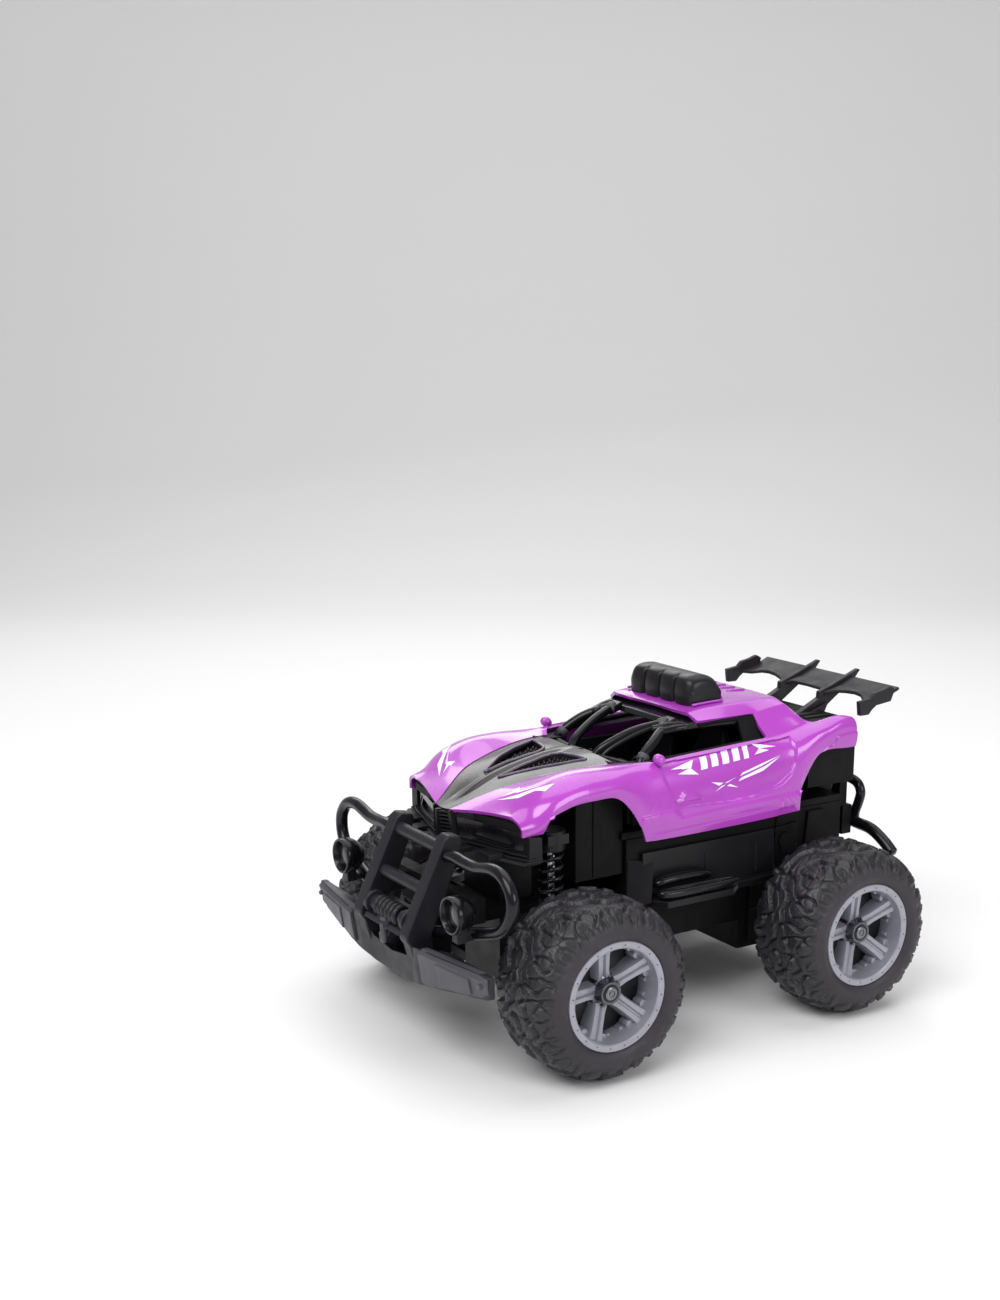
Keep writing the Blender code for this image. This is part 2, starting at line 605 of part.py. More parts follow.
def build_springs():
    steps = int(SPRING_TURNS * 8)
    route = []
    for i in range(steps + 1):
        share = i / steps
        angle = 2 * math.pi * SPRING_TURNS * share
        route.append((SPRING_R * math.cos(angle), SPRING_R * math.sin(angle),
                      SPRING_LOW + (SPRING_HIGH - SPRING_LOW) * share))
    left = make("spring_l", "satin_black", [tube(route, WIRE_R, 5, 1)])
    left.location = Vector((KINGPIN_X, -AXLE_Y, 0)) * MM
    copy_at(left, "spring_r", (-KINGPIN_X, -AXLE_Y, 0))


def build_knuckles():
    """Steering knuckle: sleeve on the bush, stub axle for the wheel, arm with a pin."""
    for suffix, side in (("l", 1), ("r", -1)):
        centre = (side * KINGPIN_X, -AXLE_Y, 0)
        sleeve = rod("z", centre, 6.2, 25.2, 46.6, 20)
        neck = rod("x", (0, -AXLE_Y, TYRE_R), 4.6, side * 39, side * 58, 16)
        stub = rod("x", (0, -AXLE_Y, TYRE_R), 2.0, side * 57, side * 70.4, 12)
        x = side * KINGPIN_X
        arm = box((x - 3, -AXLE_Y + 3.6, 38.2), (x + 3, TIE_ROD_Y + 2.6, 41.4))
        pin = rod("z", (x, TIE_ROD_Y, 0), 1.3, 41, 49.4, 12)
        bore = rod("z", centre, 3.5, 20, 50, 16)
        make("knuckle_" + suffix, "satin_black", [sleeve, neck, stub, arm, pin], [bore],
             origin=(x, -AXLE_Y, TYRE_R))


def build_steering():
    """Servo box, its lever and the tie rod that joins both knuckles."""
    servo = box((-13, -50.4, 21.8), (13, -35.2, 40.4))
    ears = box((-16, -48, 34), (16, -38, 36))
    boss = rod("z", (0, LEVER_Y, 0), 3.0, 40, 41.0, 12)
    shaft = rod("z", (0, LEVER_Y, 0), 1.4, 40, 43.6, 12)
    make("steering_servo", "dark_grey", [servo, ears, boss, shaft])
    hub = rod("z", (0, LEVER_Y, 0), 3.6, 41.4, 43.8, 16)
    arm = box((-1.9, TIE_ROD_Y - 1.8, 41.4), (1.9, LEVER_Y, 43.8))
    pin = rod("z", (0, TIE_ROD_Y, 0), 1.2, 43, 46.6, 12)
    bore = rod("z", (0, LEVER_Y, 0), 1.75, 40, 45, 12)
    make("steering_lever", "white_nylon", [hub, arm, pin], [bore], origin=(0, LEVER_Y, 42))
    bar = box((-34, TIE_ROD_Y - 2.2, 44.2), (34, TIE_ROD_Y + 2.2, 46.4))
    eyes = both(box((32, TIE_ROD_Y - 3.2, 44.2), (39.4, TIE_ROD_Y + 3.2, 46.4)))
    middle = box((-4, TIE_ROD_Y - 3.6, 44.2), (4, TIE_ROD_Y + 3.6, 46.4))
    slots = both(box((KINGPIN_X - 1.7, TIE_ROD_Y - 2.3, 40), (KINGPIN_X + 1.7, TIE_ROD_Y + 2.0, 50)))
    slots.append(box((-1.6, TIE_ROD_Y - 1.8, 40), (1.6, TIE_ROD_Y + 2.6, 50)))
    make("tie_rod", "satin_black", [bar, middle] + eyes, slots)


# -------------------------------------------------------------------- wheels
def tyre_profile():
    """Half of the hollow tyre's section as (out from the middle, radius) points."""
    return [(8.2, TYRE_R), (14.6, 31.4), (TYRE_W / 2, 24.4), (16.4, 20.4), (14.2, 20.4), (13.6, 19.3),
            (13.8, 25.2), (10.6, 29.2)]


def build_wheels():
    """Four tyres, rims and hub screws; the right-hand ones are turned half a turn."""
    half = tyre_profile()
    section = half + [(-a, r) for a, r in reversed(half)]
    tyre = turned(section, "x", (0, 0, 0), 24, True)
    wheel = turned([(-15, 18.9), (14.5, 18.9), (14.5, RIM_R), (16.2, RIM_R), (16.2, 17.8), (5.4, 17.3),
                    (5.4, 5.6), (9.6, 5.6), (9.6, 2.3), (-2, 2.3), (-2, 5.6), (3.4, 5.6), (3.4, 17.2),
                    (-15, 17.0)], "x", (0, 0, 0), 20, True)
    spokes = []
    for k in range(5):
        angle = SPOKE_PHASE + 2 * math.pi * k / 5
        across = (-math.sin(angle), math.cos(angle))
        rows = []
        for radius, half_w, top in ((4.6, 2.9, 9.0), (10.5, 2.6, 11.0), (18.2, 3.3, 14.0)):
            y, z = radius * math.cos(angle), radius * math.sin(angle)
            rows.append([(a, y + across[0] * b, z + across[1] * b)
                         for a, b in ((4.4, -half_w), (top, -half_w), (top, half_w), (4.4, half_w))])
        spokes.append(sections(rows))
    cap = turned([(10.0, 0), (10.0, 3.4), (11.0, 3.4), (11.4, 2.9), (11.4, 0)], "x", (0, 0, 0), 16)
    first = {}
    for suffix, side, y in (("fl", 1, -AXLE_Y), ("fr", -1, -AXLE_Y), ("rl", 1, AXLE_Y),
                            ("rr", -1, AXLE_Y)):
        centre = (side * HUB_X, y, TYRE_R)
        turn = 0.0 if side > 0 else math.pi
        for kind, look, solids, cuts in (("tyre", "rubber", [tyre], []),
                                         ("rim", "rim_grey", [wheel] + spokes, []),
                                         ("hub_screw", "steel", [cap], [])):
            if kind not in first:
                piece = make(f"{kind}_{suffix}", look, solids, cuts)
                for step in piece.modifiers:
                    step.object.location = Vector(centre) * MM
                piece.location = Vector(centre) * MM
                first[kind] = piece
            else:
                copy_at(first[kind], f"{kind}_{suffix}", centre, turn)


# ---------------------------------------------------------------- drivetrain
def gear_centres():
    """Centre distances of the two gear pairs and the idler's place above the motor."""
    first = GEAR_MODULE * (PINION_TEETH + IDLER_LARGE_TEETH) / 2 + MESH_PLAY
    second = GEAR_MODULE * (IDLER_SMALL_TEETH + AXLE_TEETH) / 2 + MESH_PLAY
    motor = Vector(MOTOR_YZ)
    axle = Vector((AXLE_Y, TYRE_R))
    span = axle - motor
    along = (first ** 2 - second ** 2 + span.length ** 2) / (2 * span.length)
    rise = math.sqrt(first ** 2 - along ** 2)
    unit = span.normalized()
    idler = motor + along * unit + rise * Vector((-unit.y, unit.x))
    return (motor.x, motor.y), (idler.x, idler.y), (axle.x, axle.y)


def bearing(start, end):
    return math.atan2(end[1] - start[1], end[0] - start[0])


def build_drivetrain():
    motor, idler, axle = gear_centres()
    can = turned([(-1, 0), (-1, MOTOR_R), (24, MOTOR_R), (24, 0)], "x", (0, *motor), 24)
    flats = [box((-5, motor[0] + s * MOTOR_FLAT / 2 - (8 if s < 0 else 0), 0),
                 (30, motor[0] + s * MOTOR_FLAT / 2 + (8 if s > 0 else 0), 60)) for s in (-1, 1)]
    boss = rod("x", (0, *motor), 3.0, -2.6, -0.5, 12)
    shaft = rod("x", (0, *motor), 1.0, -11.2, -1, 10)
    make("drive_motor", "steel", [can, boss, shaft], flats)

    pinion_phase = bearing(motor, idler)
    make("motor_pinion", "brass", [gear(PINION_TEETH, motor, -10.6, -6.8, pinion_phase)],
         [rod("x", (0, *motor), 1.3, -20, 5, 10)], origin=(-8, *motor))
    large_phase = bearing(idler, motor) + math.pi / IDLER_LARGE_TEETH
    small_phase = bearing(idler, axle)
    make("idler_gear", "white_nylon",
         [gear(IDLER_LARGE_TEETH, idler, -10.8, -6.6, large_phase),
          gear(IDLER_SMALL_TEETH, idler, -17.0, -10.4, small_phase)],
         [rod("x", (0, *idler), 1.25, -30, 5, 12)], origin=(-10, *idler))
    make("idler_pin", "steel", [rod("x", (0, *idler), 0.95, -26.6, -3.2, 12)])
    axle_phase = bearing(axle, idler) + math.pi / AXLE_TEETH
    sleeve = rod("x", (0, *axle), 4.4, -19.0, -8.0, 16)
    make("axle_gear", "white_nylon", [gear(AXLE_TEETH, axle, -16.4, -12.4, axle_phase), sleeve],
         [rod("x", (0, *axle), 2.2, -30, 5, 12)], origin=(-14, *axle))
    make("rear_axle", "steel", [rod("x", (0, *axle), 1.9, -70.4, 70.4, 12)], origin=(0, *axle))
    profile = [(25.2, 2.25), (25.2, 4.0), (27.3, 4.0), (27.3, 5.2), (28.6, 5.2), (28.6, 2.25)]
    for suffix, side in (("l", 1), ("r", -1)):
        ring = turned([(side * a, r) for a, r in profile], "x", (0, *axle), 16, True)
        make("axle_bush_" + suffix, "brass", [ring])


GEARBOX_LOW, GEARBOX_HIGH = 16.5, 48.0
GEARBOX_Y = (36.0, 80.0)
GEARBOX_HALF = 27.0


def build_gearbox():
    """Two half shells that meet at axle height round the motor and gears."""
    motor, idler, axle = gear_centres()
    y0, y1 = GEARBOX_Y
    split = TYRE_R
    low = box((-GEARBOX_HALF, y0, GEARBOX_LOW), (GEARBOX_HALF, y1, split - 0.15))
    high = box((-GEARBOX_HALF, y0, split + 0.15), (GEARBOX_HALF, y1, GEARBOX_HIGH))
    hollow = box((-GEARBOX_HALF + WALL, y0 + WALL, GEARBOX_LOW + WALL),
                 (GEARBOX_HALF - WALL, y1 - WALL, GEARBOX_HIGH - WALL))
    seats = both(rod("x", (0, *axle), 4.3, GEARBOX_HALF - 3, GEARBOX_HALF + 3, 16))
    recess = box((-4.6, y0 - 1, 22.6), (5.6, y0 + 1.0, 26.4))
    ribs = [box((x, motor[0] - 6, GEARBOX_LOW + 1), (x + 1.6, motor[0] + 6, motor[1] - MOTOR_R - 0.4))
            for x in (1, 20)]
    make("gearbox_case", "matte_black", [low], [hollow, recess] + seats, ribs)
    ledge = box((-5.2, idler[0] - 6, idler[1] - 2.4), (-3.6, idler[0] + 6, GEARBOX_HIGH - 1))
    pin_hole = rod("x", (0, *idler), 1.3, -30, 0, 12)
    make("gearbox_cover", "matte_black", [high], [hollow] + seats, [ledge], [pin_hole])
    knob = box((1.4, y0 - 1.6, 23.2), (3.6, y0 + 0.2, 25.8))
    slider = box((0.2, y0 + 0.1, 23.0), (4.8, y0 + 0.7, 26.0))
    make("power_switch", "red_plastic", [slider, knob])


# ----------------------------------------------------------------- batteries
def build_batteries():
    """Door on its hinge, its captive screw, four cells and the receiver board."""
    hinge = (0, *DOOR_HINGE_YZ)
    plate = box((-28, DOOR_HINGE_YZ[0], 29.3), (28, 33.4, 30.8))
    trim = box((-23.2, DOOR_HINGE_YZ[0] - 1, 29.3), (23.2, DOOR_HINGE_YZ[0] + 3, 30.8))
    barrel = rod("x", hinge, 1.3, -23.4, 23.4, 12)
    stubs = rod("x", hinge, 0.9, -26.4, 26.4, 12)
    notch = both(box((23.4, -40, 25), (30, -29.0, 35)))
    screw_hole = rod("z", (0, 31.4, 0), 1.5, 20, 35, 12)
    make("battery_door", "matte_black", [plate, trim], notch + [screw_hole], [barrel, stubs],
         origin=hinge)
    screw = turned([(28.2, 0), (28.2, 1.8), (28.7, 2.4), (29.0, 2.4), (29.0, 1.1), (31.0, 1.1),
                    (31.0, 0)], "z", (0, 31.4, 0), 14)
    make("door_screw", "steel", [screw])
    cell = [(-25.0, 0), (-25.0, 6.4), (-24.5, BATTERY_R), (23.4, BATTERY_R), (24.0, 6.2), (24.0, 2.7),
            (25.0, 2.5), (25.0, 0)]
    for k in range(4):
        turn = 1 if k % 2 == 0 else -1
        y = -29.4 + 7.4 + BATTERY_PITCH * k
        made = turned([(turn * a, r) for a, r in cell], "x", (0, y, 38.6), 12)
        make(f"battery_{k + 1}", "cell_blue", [made])
    board = box((-20, 2, 52.6), (20, 30, 54.2))
    chips = [box((-12, 8, 54), (-2, 15, 56.4)), box((4, 6, 54), (9, 16, 58)),
             box((-16, 20, 54), (-6, 26, 55.8)), rod("z", (12, 22, 0), 3.2, 54, 61, 12)]
    make("receiver_board", "circuit_green", [board] + chips)


# ------------------------------------------------------------ outside fittings
def build_front_bumper():
    """Two raked plates, cross tubes and a hoop round each lamp."""
    rake = prism([(-86.4, 80.2), (-92.4, 81.6), (-96, 73), (-109.0, 46.8), (-108.4, 45.2),
                  (-98.6, 45.2), (-93.6, 58), (-88.2, 71)], "x", 15, 21)
    upper_tube = rod("x", (0, -91.2, 76.6), 2.4, -17, 17, 10)
    lower_tube = rod("x", (0, -98.2, 62), 2.2, -17, 17, 10)
    arm = box((15.6, -97, 52.4), (20.4, -88.4, 58.4))
    hoop = tube([(18, -92.4, 74.6), (27, -91.8, 76.0), (40, -91.4, 76.4), (52, -91.2, 77.0),
                 (61.5, -91.4, 75.6), (66.6, -91.8, 70.0), (65.4, -92.2, 63.0), (58, -92.6, 57.2),
                 (45, -93.2, 53.6), (30, -94.2, 49.6), (18, -96, 47.6)], HOOP_R, 6, 2)
    lamp_stalk = rod("y", (42.6, 0, 51.5), 1.5, -98.6, -92.0, 8)
    return make("front_bumper", "satin_black",
                [rake, mirrored(rake), upper_tube, lower_tube] + both(arm, hoop, lamp_stalk))


def build_bumper_lamps():
    cup = [(-102.4, 0), (-102.4, 5.4), (-103.4, 5.8), (-103.2, 6.8), (-101.6, 7.0), (-98.2, 6.8),
           (-95.2, 5.0), (-95.2, 0)]
    for suffix, side in (("l", 1), ("r", -1)):
        body = turned(cup, "y", (side * 42.6, 0, 60.6), 20)
        foot = box((side * 42.6 - 2.2, -102.0, 50.4), (side * 42.6 + 2.2, -98.9, 56))
        make("bumper_lamp_" + suffix, "gloss_black", [body, foot])


def build_skid_plate():
    """Faceted guard under the bumper with upswept ends."""
    def ring(x, front_top, front_low, rear_low, rear_top):
        return [(x, *front_top), (x, *front_low), (x, *rear_low), (x, *rear_top)]
    rows = [
        ring(0, (-104.6, 34), (-103.8, 26.6), (-84, 22.4), (-84, 27.4)),
        ring(14, (-105.4, 37), (-104.2, 27.0), (-84, 22.4), (-84, 27.4)),
        ring(22, (-107.0, 44.2), (-105.0, 28.8), (-92, 27.0), (-94, 40)),
        ring(32, (-106.4, 44.6), (-104.6, 31.0), (-99.7, 31.6), (-99.7, 44.2)),
        ring(65, (-101.8, 44.8), (-101.4, 36.0), (-99.7, 36.2), (-99.7, 44.8)),
    ]
    left = [[(-x, y, z) for x, y, z in row] for row in reversed(rows[1:])]
    whole = sections(left + rows)
    stay = box((-9, -92, 24), (9, -84.4, 47.6))
    return make("skid_plate", "dark_grey", [whole, stay])


def build_winch():
    """Drum with a wound rope, end flanges and a hook block."""
    x = -14.4
    profile = [(x, 0), (x, 4.2), (x + 1.4, 4.2), (x + 1.4, 3.0)]
    for k in range(8):
        start = x + 3.0 + k * 3.0
        profile += [(start, 3.0), (start + 1.4, 3.7)]
    profile += [(-x - 1.4, 3.0), (-x - 1.4, 4.2), (-x, 4.2), (-x, 0)]
    drum = turned(profile, "x", (0, -103.4, 50.4), 12)
    block = box((-4.5, -108.6, 46.6), (4.5, -101, 49.4))
    hook = tube([(0, -106.6, 48), (0, -107.8, 45), (0, -107.2, 41.8), (0, -105.8, 41.2)], 1.2, 6, 2)
    saddle = box((-12, -101.5, 46.8), (12, -97.4, 52))
    return make("winch", "dark_grey", [drum, block, hook, saddle])


def build_rear_bumper():
    bar = tube([(0, 92, 63.2), (14, 92, 63.6), (34, 92, 61.8), (43.6, 92.4, 61), (51, 93, 57.4),
                (56.4, 93.2, 53.4)], 2.5, 6, 2)
    hoop = tube([(12, 92, 76), (20, 92, 79), (29, 92, 79.6), (36.4, 92, 76.4), (36.2, 92, 71),
                 (33.6, 91.8, 66), (33.2, 91.6, 60.9)], 2.0, 8, 1)
    plate = box((-20, 88.4, 54), (20, 91.6, 78))
    window = box((-13, 80, 66.4), (13, 100, 73.4))
    return make("rear_bumper", "satin_black", [plate] + both(bar, hoop), [window])


def build_side_steps():
    """Shelf beside the tub with two tubular rails and ribbed treads."""
    for suffix, side in (("l", 1), ("r", -1)):
        plan = [(36.3, -19), (44, -18), (48.6, -14), (48.6, 17), (43, 23), (42, 44), (36.3, 44)]
        shelf = prism([(side * x, y) for x, y in plan], "z", 48.6, 51.6)
        rail = tube([(side * x, y, 53.6) for x, y in ((47, -15), (48.4, -10), (48.4, 12), (47, 19),
                                                       (41, 21), (38.6, 12), (38.6, -10), (41, -16))],
                    1.9, 6, 2, True)
        upper = tube([(side * x, y, z) for x, y, z in ((38.6, -14, 54), (42.4, -13, 57.2),
                                                        (42.6, -4, 57.8), (42.4, 5, 57.2),
                                                        (38.6, 6, 54))], 1.6, 6, 2)
        skirt = box((min(side * 36.3, side * 38.2), -19, 50), (max(side * 36.3, side * 38.2), 44, 68))
        make("side_step_" + suffix, "satin_black", [shelf, skirt, rail, upper])


def main():
    for item in list(bpy.data.objects):
        bpy.data.objects.remove(item, do_unlink=True)
    build_body_shell()
    build_hood_panel()
    build_grille()
    build_roll_cage()
    build_cockpit_tub()
    build_roof_lamp_pod()
    build_rear_wing()
    build_chassis_tub()
    build_chassis_cover()
    build_suspension_frame()
    build_kingpins()
    build_bushes()
    build_springs()
    build_knuckles()
    build_steering()
    build_wheels()
    build_drivetrain()
    build_gearbox()
    build_batteries()
    build_front_bumper()
    build_bumper_lamps()
    build_skid_plate()
    build_winch()
    build_rear_bumper()
    build_side_steps()


main()
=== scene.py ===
"""Radio-controlled off-road toy car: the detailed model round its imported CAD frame.

Dimensions in the shape code are millimetres in the CAD's own axes: front -Y,
the car's left +X, up +Z, ground z = 0. MM turns them into metres. What the car
has on both sides is drawn once, on its left, and mirrored by both() or handed().
"""
import math
import random

import bmesh
import bpy
import numpy as np
from mathutils import Matrix, Quaternion, Vector
from mathutils.bvhtree import BVHTree


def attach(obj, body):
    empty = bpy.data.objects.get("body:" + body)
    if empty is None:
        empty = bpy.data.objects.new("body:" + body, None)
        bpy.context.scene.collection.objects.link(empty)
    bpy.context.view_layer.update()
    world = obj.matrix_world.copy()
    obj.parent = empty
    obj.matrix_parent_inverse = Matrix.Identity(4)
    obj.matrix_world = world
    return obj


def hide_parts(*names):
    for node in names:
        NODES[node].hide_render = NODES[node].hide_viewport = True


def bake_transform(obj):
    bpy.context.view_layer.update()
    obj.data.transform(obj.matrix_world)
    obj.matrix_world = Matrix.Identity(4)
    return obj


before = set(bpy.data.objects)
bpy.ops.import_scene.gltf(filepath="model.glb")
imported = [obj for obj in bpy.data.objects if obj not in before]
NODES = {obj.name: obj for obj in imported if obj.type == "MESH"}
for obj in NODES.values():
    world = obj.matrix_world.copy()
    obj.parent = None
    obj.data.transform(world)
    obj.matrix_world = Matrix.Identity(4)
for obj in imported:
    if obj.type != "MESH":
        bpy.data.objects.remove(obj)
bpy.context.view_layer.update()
MM = 0.001
AXLE_Y, HUB_X, TYRE_R = 58.0, 62.0, 33.0
KINGPIN_X = 36.0
SHELL_WALL, BONNET_WALL = 1.3, 1.2
LAMP_X, LAMP_Z = 42.4, 60.6
SIDES = (("l", 1), ("r", -1))
PRINT_LIFT = 0.0001


# ------------------------------------------------------------------ materials
def new_nodes(name):
    made = bpy.data.materials.new(name)
    made.use_nodes = True
    tree = made.node_tree
    return made, tree, tree.nodes["Principled BSDF"]


def add(tree, kind, inputs=None, **settings):
    node = tree.nodes.new(kind)
    for key, value in settings.items():
        setattr(node, key, value)
    for key, value in (inputs or {}).items():
        node.inputs[key].default_value = value
    return node


def surface(name, colour, roughness, metallic=0.0, coat=0.0, mottle=0.10, mottle_scale=60.0, rough_vary=0.08,
            grain=0.0, grain_scale=2500.0, wave=0.0, wave_scale=25.0, edge=0.0, coat_rough=0.06,
            specular=0.5, tint=None, hollow_shade=0.0):
    """Procedural plastic, rubber or metal: clouded colour, uneven gloss, fine grain, paler edges, painted
    shade in hollows.
    """
    made, tree, shader = new_nodes(name)
    link = tree.links.new
    for socket, value in (("Metallic", metallic), ("Coat Weight", coat), ("Coat Roughness", coat_rough),
                          ("Specular IOR Level", specular)):
        shader.inputs[socket].default_value = value
    where = add(tree, "ShaderNodeTexCoord").outputs["Object"]

    def mix_in(shade, start, end, amount, other):
        """Another colour where the pointiness runs from start to end: painted shade in hollows, paler edges.
        """
        zone = add(tree, "ShaderNodeMapRange", {"From Min": start, "From Max": end, "To Min": 0.0,
                                                "To Max": amount})
        link(add(tree, "ShaderNodeNewGeometry").outputs["Pointiness"], zone.inputs["Value"])
        mix = add(tree, "ShaderNodeMix", data_type="RGBA")
        mix.inputs["B"].default_value = (*other, 1)
        link(zone.outputs["Result"], mix.inputs["Factor"])
        link(shade, mix.inputs["A"])
        return mix.outputs["Result"]

    cloud = add(tree, "ShaderNodeTexNoise", {"Scale": mottle_scale, "Detail": 5, "Roughness": 0.6})
    link(where, cloud.inputs["Vector"])
    ramp = add(tree, "ShaderNodeValToRGB")
    low = [c * (1 - mottle) for c in colour]
    high = [min(1, c * (1 + mottle)) for c in (tint or colour)]
    for stop, position, value in zip(ramp.color_ramp.elements, (0.32, 0.68), (low, high)):
        stop.position, stop.color = position, (*value, 1)
    link(cloud.outputs["Fac"], ramp.inputs["Fac"])
    shade = ramp.outputs["Color"]
    # Painted shade: the colour darkens towards a fifth of itself in hollows, where the pointiness is low.
    if hollow_shade:
        shade = mix_in(shade, 0.49, 0.42, hollow_shade, [c * 0.2 for c in colour])
    if edge:
        shade = mix_in(shade, 0.51, 0.60, edge, [min(1, c * 2.2 + 0.03) for c in colour])
    link(shade, shader.inputs["Base Color"])

    uneven = add(tree, "ShaderNodeTexNoise", {"Scale": mottle_scale * 2.3, "Detail": 3.0})
    link(where, uneven.inputs["Vector"])
    spread = add(tree, "ShaderNodeMapRange", {"From Min": 0.3, "From Max": 0.7,
                                              "To Min": max(0.02, roughness - rough_vary),
                                              "To Max": min(1, roughness + rough_vary)})
    link(uneven.outputs["Fac"], spread.inputs["Value"])
    link(spread.outputs["Result"], shader.inputs["Roughness"])

    normal = None
    for strength, scale, distance in ((wave, wave_scale, 0.0010), (grain, grain_scale, 0.00010)):
        if strength:
            bumps = add(tree, "ShaderNodeTexNoise", {"Scale": scale, "Detail": 2.0})
            link(where, bumps.inputs["Vector"])
            lift = add(tree, "ShaderNodeBump", {"Strength": strength, "Distance": distance})
            link(bumps.outputs["Fac"], lift.inputs["Height"])
            if normal:
                link(normal, lift.inputs["Normal"])
            normal = lift.outputs["Normal"]
    if normal:
        link(normal, shader.inputs["Normal"])
    return made


LOOK = {
    "purple": surface("purple_gloss", (0.43, 0.048, 0.50), 0.24, coat=0.8, mottle=0.05, mottle_scale=22,
                      rough_vary=0.05, wave=0.05, wave_scale=45, coat_rough=0.07,
                      tint=(0.46, 0.054, 0.54)),
    "gunmetal": surface("gunmetal_gloss", (0.022, 0.019, 0.018), 0.22, specular=0.3, coat=0.25, mottle=0.12,
                        mottle_scale=900, grain=0.10, grain_scale=5000, coat_rough=0.12),
    "gloss_black": surface("black_gloss", (0.0045, 0.0045, 0.007), 0.24, coat=0.12, specular=0.28, mottle=0.2,
                           rough_vary=0.06, wave=0.05, wave_scale=120),
    "satin_black": surface("black_satin", (0.004, 0.004, 0.0055), 0.40, mottle=0.2, grain=0.15, edge=0.12,
                           specular=0.3),
    "bumper_black": surface("bumper_black", (0.008, 0.008, 0.012), 0.44, mottle=0.18, grain=0.2,
                            edge=0.3, specular=0.35),
    "matte_black": surface("black_matte", (0.003, 0.0027, 0.0036), 0.58, mottle=0.22, grain=0.3,
                           grain_scale=1800, edge=0.06, specular=0.16),
    "pod_black": surface("pod_charcoal", (0.006, 0.0052, 0.007), 0.36, specular=0.35, mottle=0.15, grain=0.25,
                         grain_scale=2600),
    "wing_black": surface("wing_charcoal", (0.009, 0.0075, 0.010), 0.5, mottle=0.18, grain=0.3, edge=0.25,
                          specular=0.3),
    "skid_grey": surface("skid_grey", (0.050, 0.048, 0.060), 0.48, mottle=0.14, grain=0.4, edge=0.3),
    # Both tyre materials have painted shade in the hollows between the lugs.
    "rubber": surface("tyre_rubber", (0.022, 0.0185, 0.024), 0.52, mottle=0.18, mottle_scale=45, grain=0.5,
                      grain_scale=1500, edge=0.3, hollow_shade=0.97, tint=(0.027, 0.023, 0.030), specular=0.45),
    "tread": surface("tyre_tread", (0.010, 0.0098, 0.013), 0.44, mottle=0.2, mottle_scale=60, grain=0.5,
                     grain_scale=1500, edge=0.35, hollow_shade=0.9, tint=(0.016, 0.015, 0.020)),
    "rim": surface("rim_silver", (0.33, 0.33, 0.385), 0.36, metallic=0.35, coat=0.2, mottle=0.07,
                   mottle_scale=300, grain=0.08),
    "hub": surface("hub_chrome_dark", (0.10, 0.10, 0.12), 0.22, metallic=0.8, coat=0.3, mottle=0.1),
    "rim_dark": surface("rim_recess", (0.004, 0.004, 0.006), 0.5, mottle=0.2, grain=0.2),
    "steel": surface("steel_satin", (0.55, 0.55, 0.58), 0.24, metallic=1.0, mottle=0.08, mottle_scale=500),
    "bolt": surface("bolt_grey", (0.20, 0.20, 0.22), 0.3, metallic=1.0, mottle=0.1, mottle_scale=500),
    "brass": surface("brass_satin", (0.68, 0.46, 0.18), 0.32, metallic=1.0, mottle=0.10),
    "nylon": surface("nylon_white", (0.78, 0.76, 0.71), 0.45, mottle=0.04, grain=0.1),
    "red": surface("switch_red", (0.62, 0.02, 0.02), 0.35, mottle=0.08, grain=0.1),
    "board": surface("board_green", (0.02, 0.19, 0.07), 0.38, mottle=0.25, mottle_scale=700),
    "cell": surface("cell_blue", (0.05, 0.14, 0.42), 0.28, metallic=0.3, coat=0.4, mottle=0.1),
    "decal": surface("decal_white", (0.88, 0.87, 0.92), 0.30, coat=0.4, mottle=0.03, grain=0.05),
    "lens": surface("lamp_lens", (0.022, 0.022, 0.027), 0.18, coat=0.2, mottle=0.15),
    "mesh": surface("vent_mesh", (0.016, 0.016, 0.018), 0.5, mottle=0.3, grain=0.5, grain_scale=900),
    # Vent rim: a dark purple tint painted in as a reflection of the purple shell along the vent edges.
    "vent_rim": surface("vent_rim", (0.075, 0.045, 0.095), 0.22, coat=0.5, mottle=0.1),
}


# ---------------------------------------------------------------------- shapes
def band(lower, upper):
    """Faces that join two rings of point numbers."""
    count = len(lower)
    return [(lower[k], lower[(k + 1) % count], upper[(k + 1) % count], upper[k]) for k in range(count)]


def sections(rows):
    """Closed loft through equal-length rings of points, capped at both ends."""
    count = len(rows[0])
    rings = [range(i * count, (i + 1) * count) for i in range(len(rows))]
    faces = [tuple(reversed(rings[0])), tuple(rings[-1])]
    for lower, upper in zip(rings, rings[1:]):
        faces += band(lower, upper)
    return [p for row in rows for p in row], faces


def prism(outline, axis, start, end):
    at = {"x": lambda a, b, t: (t, a, b), "y": lambda a, b, t: (a, t, b),
          "z": lambda a, b, t: (a, b, t)}[axis]
    return sections([[at(a, b, t) for a, b in outline] for t in (start, end)])


def box(low, high):
    (x0, y0, z0), (x1, y1, z1) = low, high
    return prism([(x0, y0), (x1, y0), (x1, y1), (x0, y1)], "z", z0, z1)


def circle(radius, count, start=0.0):
    """Pairs evenly round a circle."""
    angles = [start + 2 * math.pi * k / count for k in range(count)]
    return [(radius * math.cos(a), radius * math.sin(a)) for a in angles]


def helix(radius, start, end, turns, per_turn):
    """Points of a coil: along its axis, and two coordinates from the axis."""
    total = turns * per_turn
    angles = [2 * math.pi * i / per_turn for i in range(total + 1)]
    return [(start + (end - start) * i / total, radius * math.cos(a), radius * math.sin(a))
            for i, a in enumerate(angles)]


